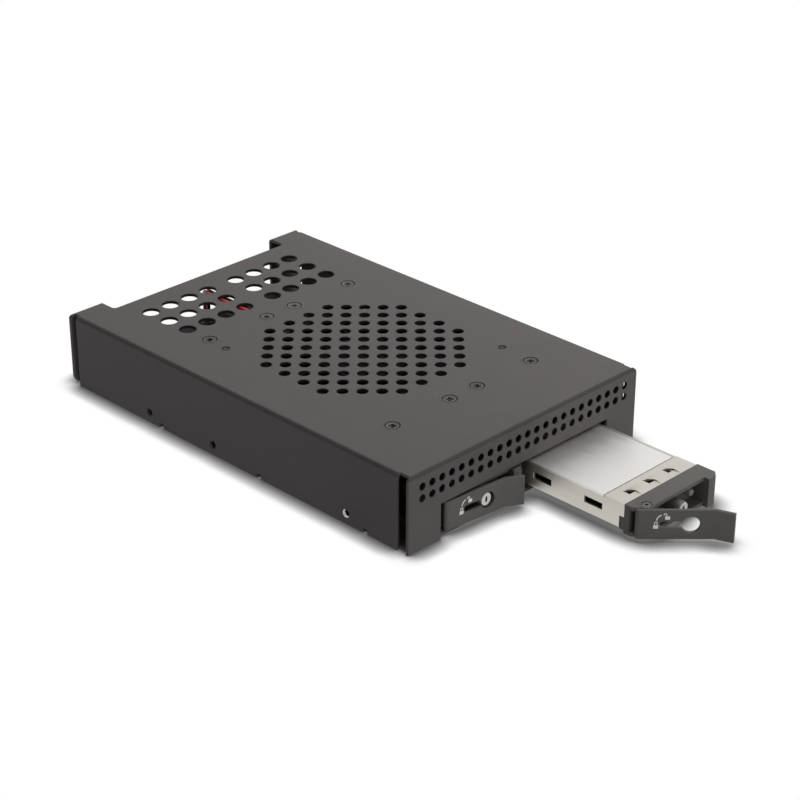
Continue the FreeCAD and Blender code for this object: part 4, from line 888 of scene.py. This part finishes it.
def lever_mesh():
    """The lever about its pin, before it is turned: plate, knuckle, bore and keyhole."""
    wall = FACE_IN - FACE_OUT
    flare = Vector((math.cos(FLARE_ANGLE), -math.sin(FLARE_ANGLE)))
    inward = Vector((math.sin(FLARE_ANGLE), math.cos(FLARE_ANGLE)))
    end = Vector((LEVER_REACH, FACE_OUT)) + FLARE_LENGTH * flare
    tail = arc((LEVER_TAIL + wall, FACE_IN), wall, 180, 270, steps=8)
    inner_end = end + wall * inward
    inner_bend = (LEVER_REACH + wall * math.tan(FLARE_ANGLE / 2), FACE_IN)
    plan = tail + [(LEVER_REACH, FACE_OUT), tuple(end), tuple(inner_end), inner_bend]
    plate = prism("lever_plate", plan, LEVER_LOW, LEVER_HIGH, upright)
    foot = FACE_OUT + wall / 2
    knuckle_plan = arc((0, 0), KNUCKLE, 0, 180, steps=24) + [(-KNUCKLE, foot), (KNUCKLE, foot)]
    knuckle = prism("lever_knuckle", knuckle_plan, KNUCKLE_LOW, KNUCKLE_HIGH, upright)
    bore_plan = arc((0, 0), KNUCKLE_BORE, 0, 345, steps=23)
    bore = prism("lever_bore", bore_plan, LEVER_LOW, LEVER_HIGH, upright)
    meet = math.degrees(math.asin(SLOT_HALF / KEYHOLE))
    nose = arc((KEYHOLE_X - SLOT_LENGTH, LOCK_HEIGHT), SLOT_HALF, 90, 270, steps=14)
    eye = arc((KEYHOLE_X, LOCK_HEIGHT), KEYHOLE, meet - 180, 180 - meet, steps=40)
    keyhole = prism("lever_keyhole", nose + eye, FACE_OUT - CUT_PAST, FACE_IN + KEYHOLE_PAST, facing)
    tools = [("UNION", knuckle), ("DIFFERENCE", bore), ("DIFFERENCE", keyhole)]
    return shaped("lever", plate, tools, edge=LEVER_EDGE, segments=3)


def bow(centre, left_foot, right_foot):
    """The outline of a padlock's bow, an arch on two legs."""
    left_leg = [(centre[0] - BOW_OUT, left_foot), (centre[0] - BOW_IN, left_foot)]
    right_leg = [(centre[0] + BOW_IN, right_foot), (centre[0] + BOW_OUT, right_foot)]
    return arc(centre, BOW_OUT, 0, 180) + left_leg + arc(centre, BOW_IN, 180, 0) + right_leg


def padlock_prints():
    """Outlines of the signs on a lever's face: a shut padlock, an arc and an open padlock."""
    return [
        oblong(SHUT_BODY, *SHUT_BODY_SIZE, BODY_CORNER), bow(SHUT_BOW, *SHUT_BOW_FEET),
        band(SIGN_ARC, SIGN_ARC_RADIUS, SIGN_ARC_WIDTH, SIGN_ARC_START, SIGN_ARC_END),
        oblong(OPEN_BODY, *OPEN_BODY_SIZE, BODY_CORNER), bow(OPEN_BOW, *OPEN_BOW_FEET),
    ]


print_white = finish("print_white", tones=((0.78, 0.78, 0.77), (0.84, 0.84, 0.83)), rough=(0.5, 0.6),
                     worn=(0.7, 0.7, 0.69), grain=3000.0, soft=0.05)
for hand, place in TRAYS.items():
    swing = Matrix.Rotation(math.radians(LEVER_TURNS[hand]), 4, "Z")
    swung = Matrix.Translation((place + HINGE_PLACE) * MM) @ swing
    lever_shape = lever_mesh()
    lever_shape.transform(swung)
    lever = solid(hand + "_lever_plate", lever_shape)
    dress(lever, moulding)
    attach(lever, hand + "_lever")
    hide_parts(hand + "_lever")
    for count, outline in enumerate(padlock_prints()):
        sign_mesh = prism("sign", outline, FACE_OUT - PRINT_RISE, FACE_OUT + PRINT_RISE, facing)
        sign_mesh.transform(swung)
        sign = solid(hand + "_lever_print_" + str(count), sign_mesh)
        dress(sign, print_white)
        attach(sign, hand + "_lever")

# Locks: grey moulded barrels with a white face, held in the tray's front by a groove near their rear
# end. A coin or a key in the slot of the face turns them.
LOCK_FRONT = -0.5
LOCK_SHOULDER = 6.1
LOCK_REAR = 8.32
LOCK_CAP = 0.8
LOCK_HEAD = 2.3
LOCK_EDGE = 0.2
LOCK_NECK = 1.6
LOCK_FACE = 2.05
LOCK_FACE_EDGE = 0.1
LOCK_FACE_PROUD = 0.08
LOCK_FACE_SUNK = 0.25
LOCK_SLOT_WIDTH = 0.95
LOCK_SLOT_HEIGHT = 1.9
LOCK_SLOT_DEPTH = 1.4
LOCK_SLOT_CORNER = 0.4
LOCK_SLOT_EDGE = 0.05
barrel_grey = finish("barrel_grey", tones=((0.11, 0.108, 0.106), (0.15, 0.148, 0.145)), rough=(0.35, 0.48),
                     worn=(0.3, 0.297, 0.293), grain=1500.0, bump=0.08)
face_white = finish("face_white", tones=((0.74, 0.735, 0.72), (0.82, 0.815, 0.8)), rough=(0.35, 0.45),
                    worn=(0.88, 0.88, 0.87), grain=1500.0, bump=0.06, soft=0.12)
rearward = Matrix.Rotation(math.radians(-90), 3, "X")
barrel_outline = [
    (LOCK_HEAD - LOCK_EDGE, LOCK_FRONT), (LOCK_HEAD, LOCK_FRONT + LOCK_EDGE), (LOCK_HEAD, LOCK_SHOULDER),
    (LOCK_NECK, LOCK_SHOULDER), (LOCK_NECK, LOCK_REAR), (LOCK_HEAD, LOCK_REAR),
    (LOCK_HEAD, LOCK_REAR + LOCK_CAP),
]
face_outline = [
    (LOCK_FACE - LOCK_FACE_EDGE, LOCK_FRONT - LOCK_FACE_PROUD), (LOCK_FACE, LOCK_FRONT),
    (LOCK_FACE, LOCK_FRONT + LOCK_FACE_SUNK),
]
key_slot = oblong((0, 0), LOCK_SLOT_WIDTH, LOCK_SLOT_HEIGHT, LOCK_SLOT_CORNER)
for hand, place in TRAYS.items():
    at_lock = Matrix.Translation((place + Vector((0, 0, LOCK_HEIGHT))) * MM)
    for name, outline, look in (("barrel", barrel_outline, barrel_grey), ("face", face_outline, face_white)):
        cutter = prism("key_slot", key_slot, LOCK_FRONT - CUT_PAST, LOCK_FRONT + LOCK_SLOT_DEPTH, facing)
        lock_shape = shaped(hand + "_lock_" + name, turned("lock_blank", outline, turn=rearward),
                            [("DIFFERENCE", cutter)], edge=LOCK_SLOT_EDGE)
        lock_shape.transform(at_lock)
        lock = solid(hand + "_lock_" + name, lock_shape)
        dress(lock, look)
        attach(lock, hand + "_lock")
        if name == "barrel":
            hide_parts(hand + "_lock")

# Light pipes: rods moulded in clear plastic with a rounded front end, pressed into the tray's front. They
# bring a lamp's light forward from the tray's board.
PIPE_PLACE = Vector((7.6, 0, 7.4))
PIPE = 1.2
PIPE_DOME = ((0.7, 0.0), (0.25, 0.12), (0.0, 0.5))
PIPE_FRONT = 2.2
PIPE_REAR = 12.2
pipe_plastic = finish("pipe_plastic", tones=((0.13, 0.131, 0.13), (0.17, 0.171, 0.17)), rough=(0.18, 0.3),
                      worn=(0.4, 0.4, 0.4), grain=1500.0, bump=0.04)
pipe_outline = [(PIPE - inset, PIPE_FRONT + setback) for inset, setback in PIPE_DOME]
pipe_outline.append((PIPE, PIPE_REAR))
for hand, place in TRAYS.items():
    pipe = smooth(turned("pipe_blank", pipe_outline, turn=rearward), angle=50)
    rod = repeated(hand + "_pipe_rod", pipe, [place + PIPE_PLACE], pipe_plastic)
    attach(rod, hand + "_tray")
    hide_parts(hand + "_light_pipe")

# Stage: a plain white floor with a close soft shadow, light from above and the front right, and the
# photograph's camera. The floor's shadow is painted from its ambient occlusion, not cast by the lamps, and
# mirrors see a lighter painted shade near the object. Elsewhere the camera and mirrors see the floor and
# the sky as white.
FLOOR_HALF = 6.0
FLOOR_DROP = 0.02
FLOOR_GREY = 0.46
SHADOW_REACH = 7.4
SHADOW_SAMPLES = 24
SHADOW_TONES = ((0.3, 0.15), (0.5, 0.1), (0.6, 0.17), (0.75, 0.37), (0.88, 0.65), (0.97, 1.0))
MIRROR_TONES = ((0.2, 0.05), (0.35, 0.4), (0.5, 1.0))
CAMERA_PLACE = (-439.55, -460.94, 333.31)
CAMERA_TURN = 45.206
CAMERA_TILT = 27.3735
CAMERA_ROLL = 0.1105
CAMERA_LENS = 99.19
CAMERA_SENSOR = 36.0
CAMERA_NEAR = 0.01
SKY = 0.23
WHITE = (1.0, 1.0, 1.0, 1.0)
SOFTBOX_PLACE = (330.0, -60.0, 300.0)
SOFTBOX_SIDE = 260.0
SOFTBOX_POWER = 1.6
SUNS = (
    ("front_fill", (-0.15, -0.95, 0.12), 1.5, 60),
    ("overhead_sun", (0.1, 0.15, 1.0), 0.4, 70),
)


def seen_directly(tree):
    """One for rays from the camera, from mirrors and through glass, and nothing for other rays."""
    path = add(tree, "ShaderNodeLightPath").outputs
    direct = calc(tree, "MAXIMUM", path["Is Camera Ray"], path["Is Glossy Ray"])
    return calc(tree, "MAXIMUM", direct, path["Is Transmission Ray"])


def greys(stops):
    """Grey colours for stops of (place, tone)."""
    return [(place, (tone, tone, tone)) for place, tone in stops]


floor_mesh = bpy.data.meshes.new("floor")
floor_level = -FLOOR_DROP * MM
floor_sides = ((-1, -1), (1, -1), (1, 1), (-1, 1))
floor_corners = [(x * FLOOR_HALF, y * FLOOR_HALF, floor_level) for x, y in floor_sides]
floor_mesh.from_pydata(floor_corners, [], [(0, 1, 2, 3)])
floor = solid("floor", floor_mesh)
floor_look = bpy.data.materials.new("white_floor")
floor_look.use_nodes = True
floor_tree = floor_look.node_tree
floor_tree.nodes.remove(floor_tree.nodes["Principled BSDF"])
reach = {"Distance": SHADOW_REACH * MM}
open_sky = add(floor_tree, "ShaderNodeAmbientOcclusion", reach, samples=SHADOW_SAMPLES).outputs["AO"]
shade = ramp(floor_tree, open_sky, greys(SHADOW_TONES))
mirrored = ramp(floor_tree, open_sky, greys(MIRROR_TONES))
viewed = add(floor_tree, "ShaderNodeLightPath").outputs["Is Camera Ray"]
tone = add(floor_tree, "ShaderNodeMix", {"Factor": viewed, "A": mirrored, "B": shade}).outputs["Result"]
shown = add(floor_tree, "ShaderNodeEmission", {"Color": WHITE, "Strength": tone}).outputs["Emission"]
floor_colour = (FLOOR_GREY, FLOOR_GREY, FLOOR_GREY, 1.0)
matt = add(floor_tree, "ShaderNodeBsdfDiffuse", {"Color": floor_colour}).outputs["BSDF"]
layers = {0: seen_directly(floor_tree), 1: matt, 2: shown}
both = add(floor_tree, "ShaderNodeMixShader", layers).outputs["Shader"]
floor_tree.links.new(both, floor_tree.nodes["Material Output"].inputs["Surface"])
dress(floor, floor_look)
world = bpy.data.worlds.new("studio")
bpy.context.scene.world = world
world.use_nodes = True
sky_tree = world.node_tree
sky = sky_tree.nodes["Background"]
sky.inputs["Color"].default_value = WHITE
level = between(sky_tree, seen_directly(sky_tree), (0.0, 1.0), SKY, 1.0)
sky_tree.links.new(level, sky.inputs["Strength"])
for name, towards, strength, angle in SUNS:
    lamp = bpy.data.lights.new(name, "SUN")
    lamp.energy = strength
    lamp.angle = math.radians(angle)
    sun = solid(name, lamp)
    sun.rotation_euler = Vector(towards).to_track_quat("Z", "Y").to_euler()
box = bpy.data.lights.new("softbox", "AREA")
box.energy = SOFTBOX_POWER
box.size = SOFTBOX_SIDE * MM
softbox = solid("softbox", box)
softbox.location = Vector(SOFTBOX_PLACE) * MM
softbox.rotation_euler = softbox.location.to_track_quat("Z", "Y").to_euler()
softbox.visible_glossy = False
turn, tilt, roll = (math.radians(a) for a in (CAMERA_TURN, CAMERA_TILT, CAMERA_ROLL))
ahead = Vector((math.sin(turn) * math.cos(tilt), math.cos(turn) * math.cos(tilt), -math.sin(tilt)))
level_right = ahead.cross(Vector((0, 0, 1))).normalized()
level_up = level_right.cross(ahead)
right = math.cos(roll) * level_right + math.sin(roll) * level_up
up = right.cross(ahead)
lens = bpy.data.cameras.new("camera")
lens.lens = CAMERA_LENS
lens.sensor_width = CAMERA_SENSOR
lens.clip_start = CAMERA_NEAR
camera = solid("camera", lens)
placed = Matrix((right, up, -ahead)).transposed().to_4x4()
placed.translation = Vector(CAMERA_PLACE) * MM
camera.matrix_world = placed
bpy.context.scene.camera = camera
bpy.context.scene.view_settings.view_transform = "Standard"

# Brings the scene up to date
bpy.context.view_layer.update()
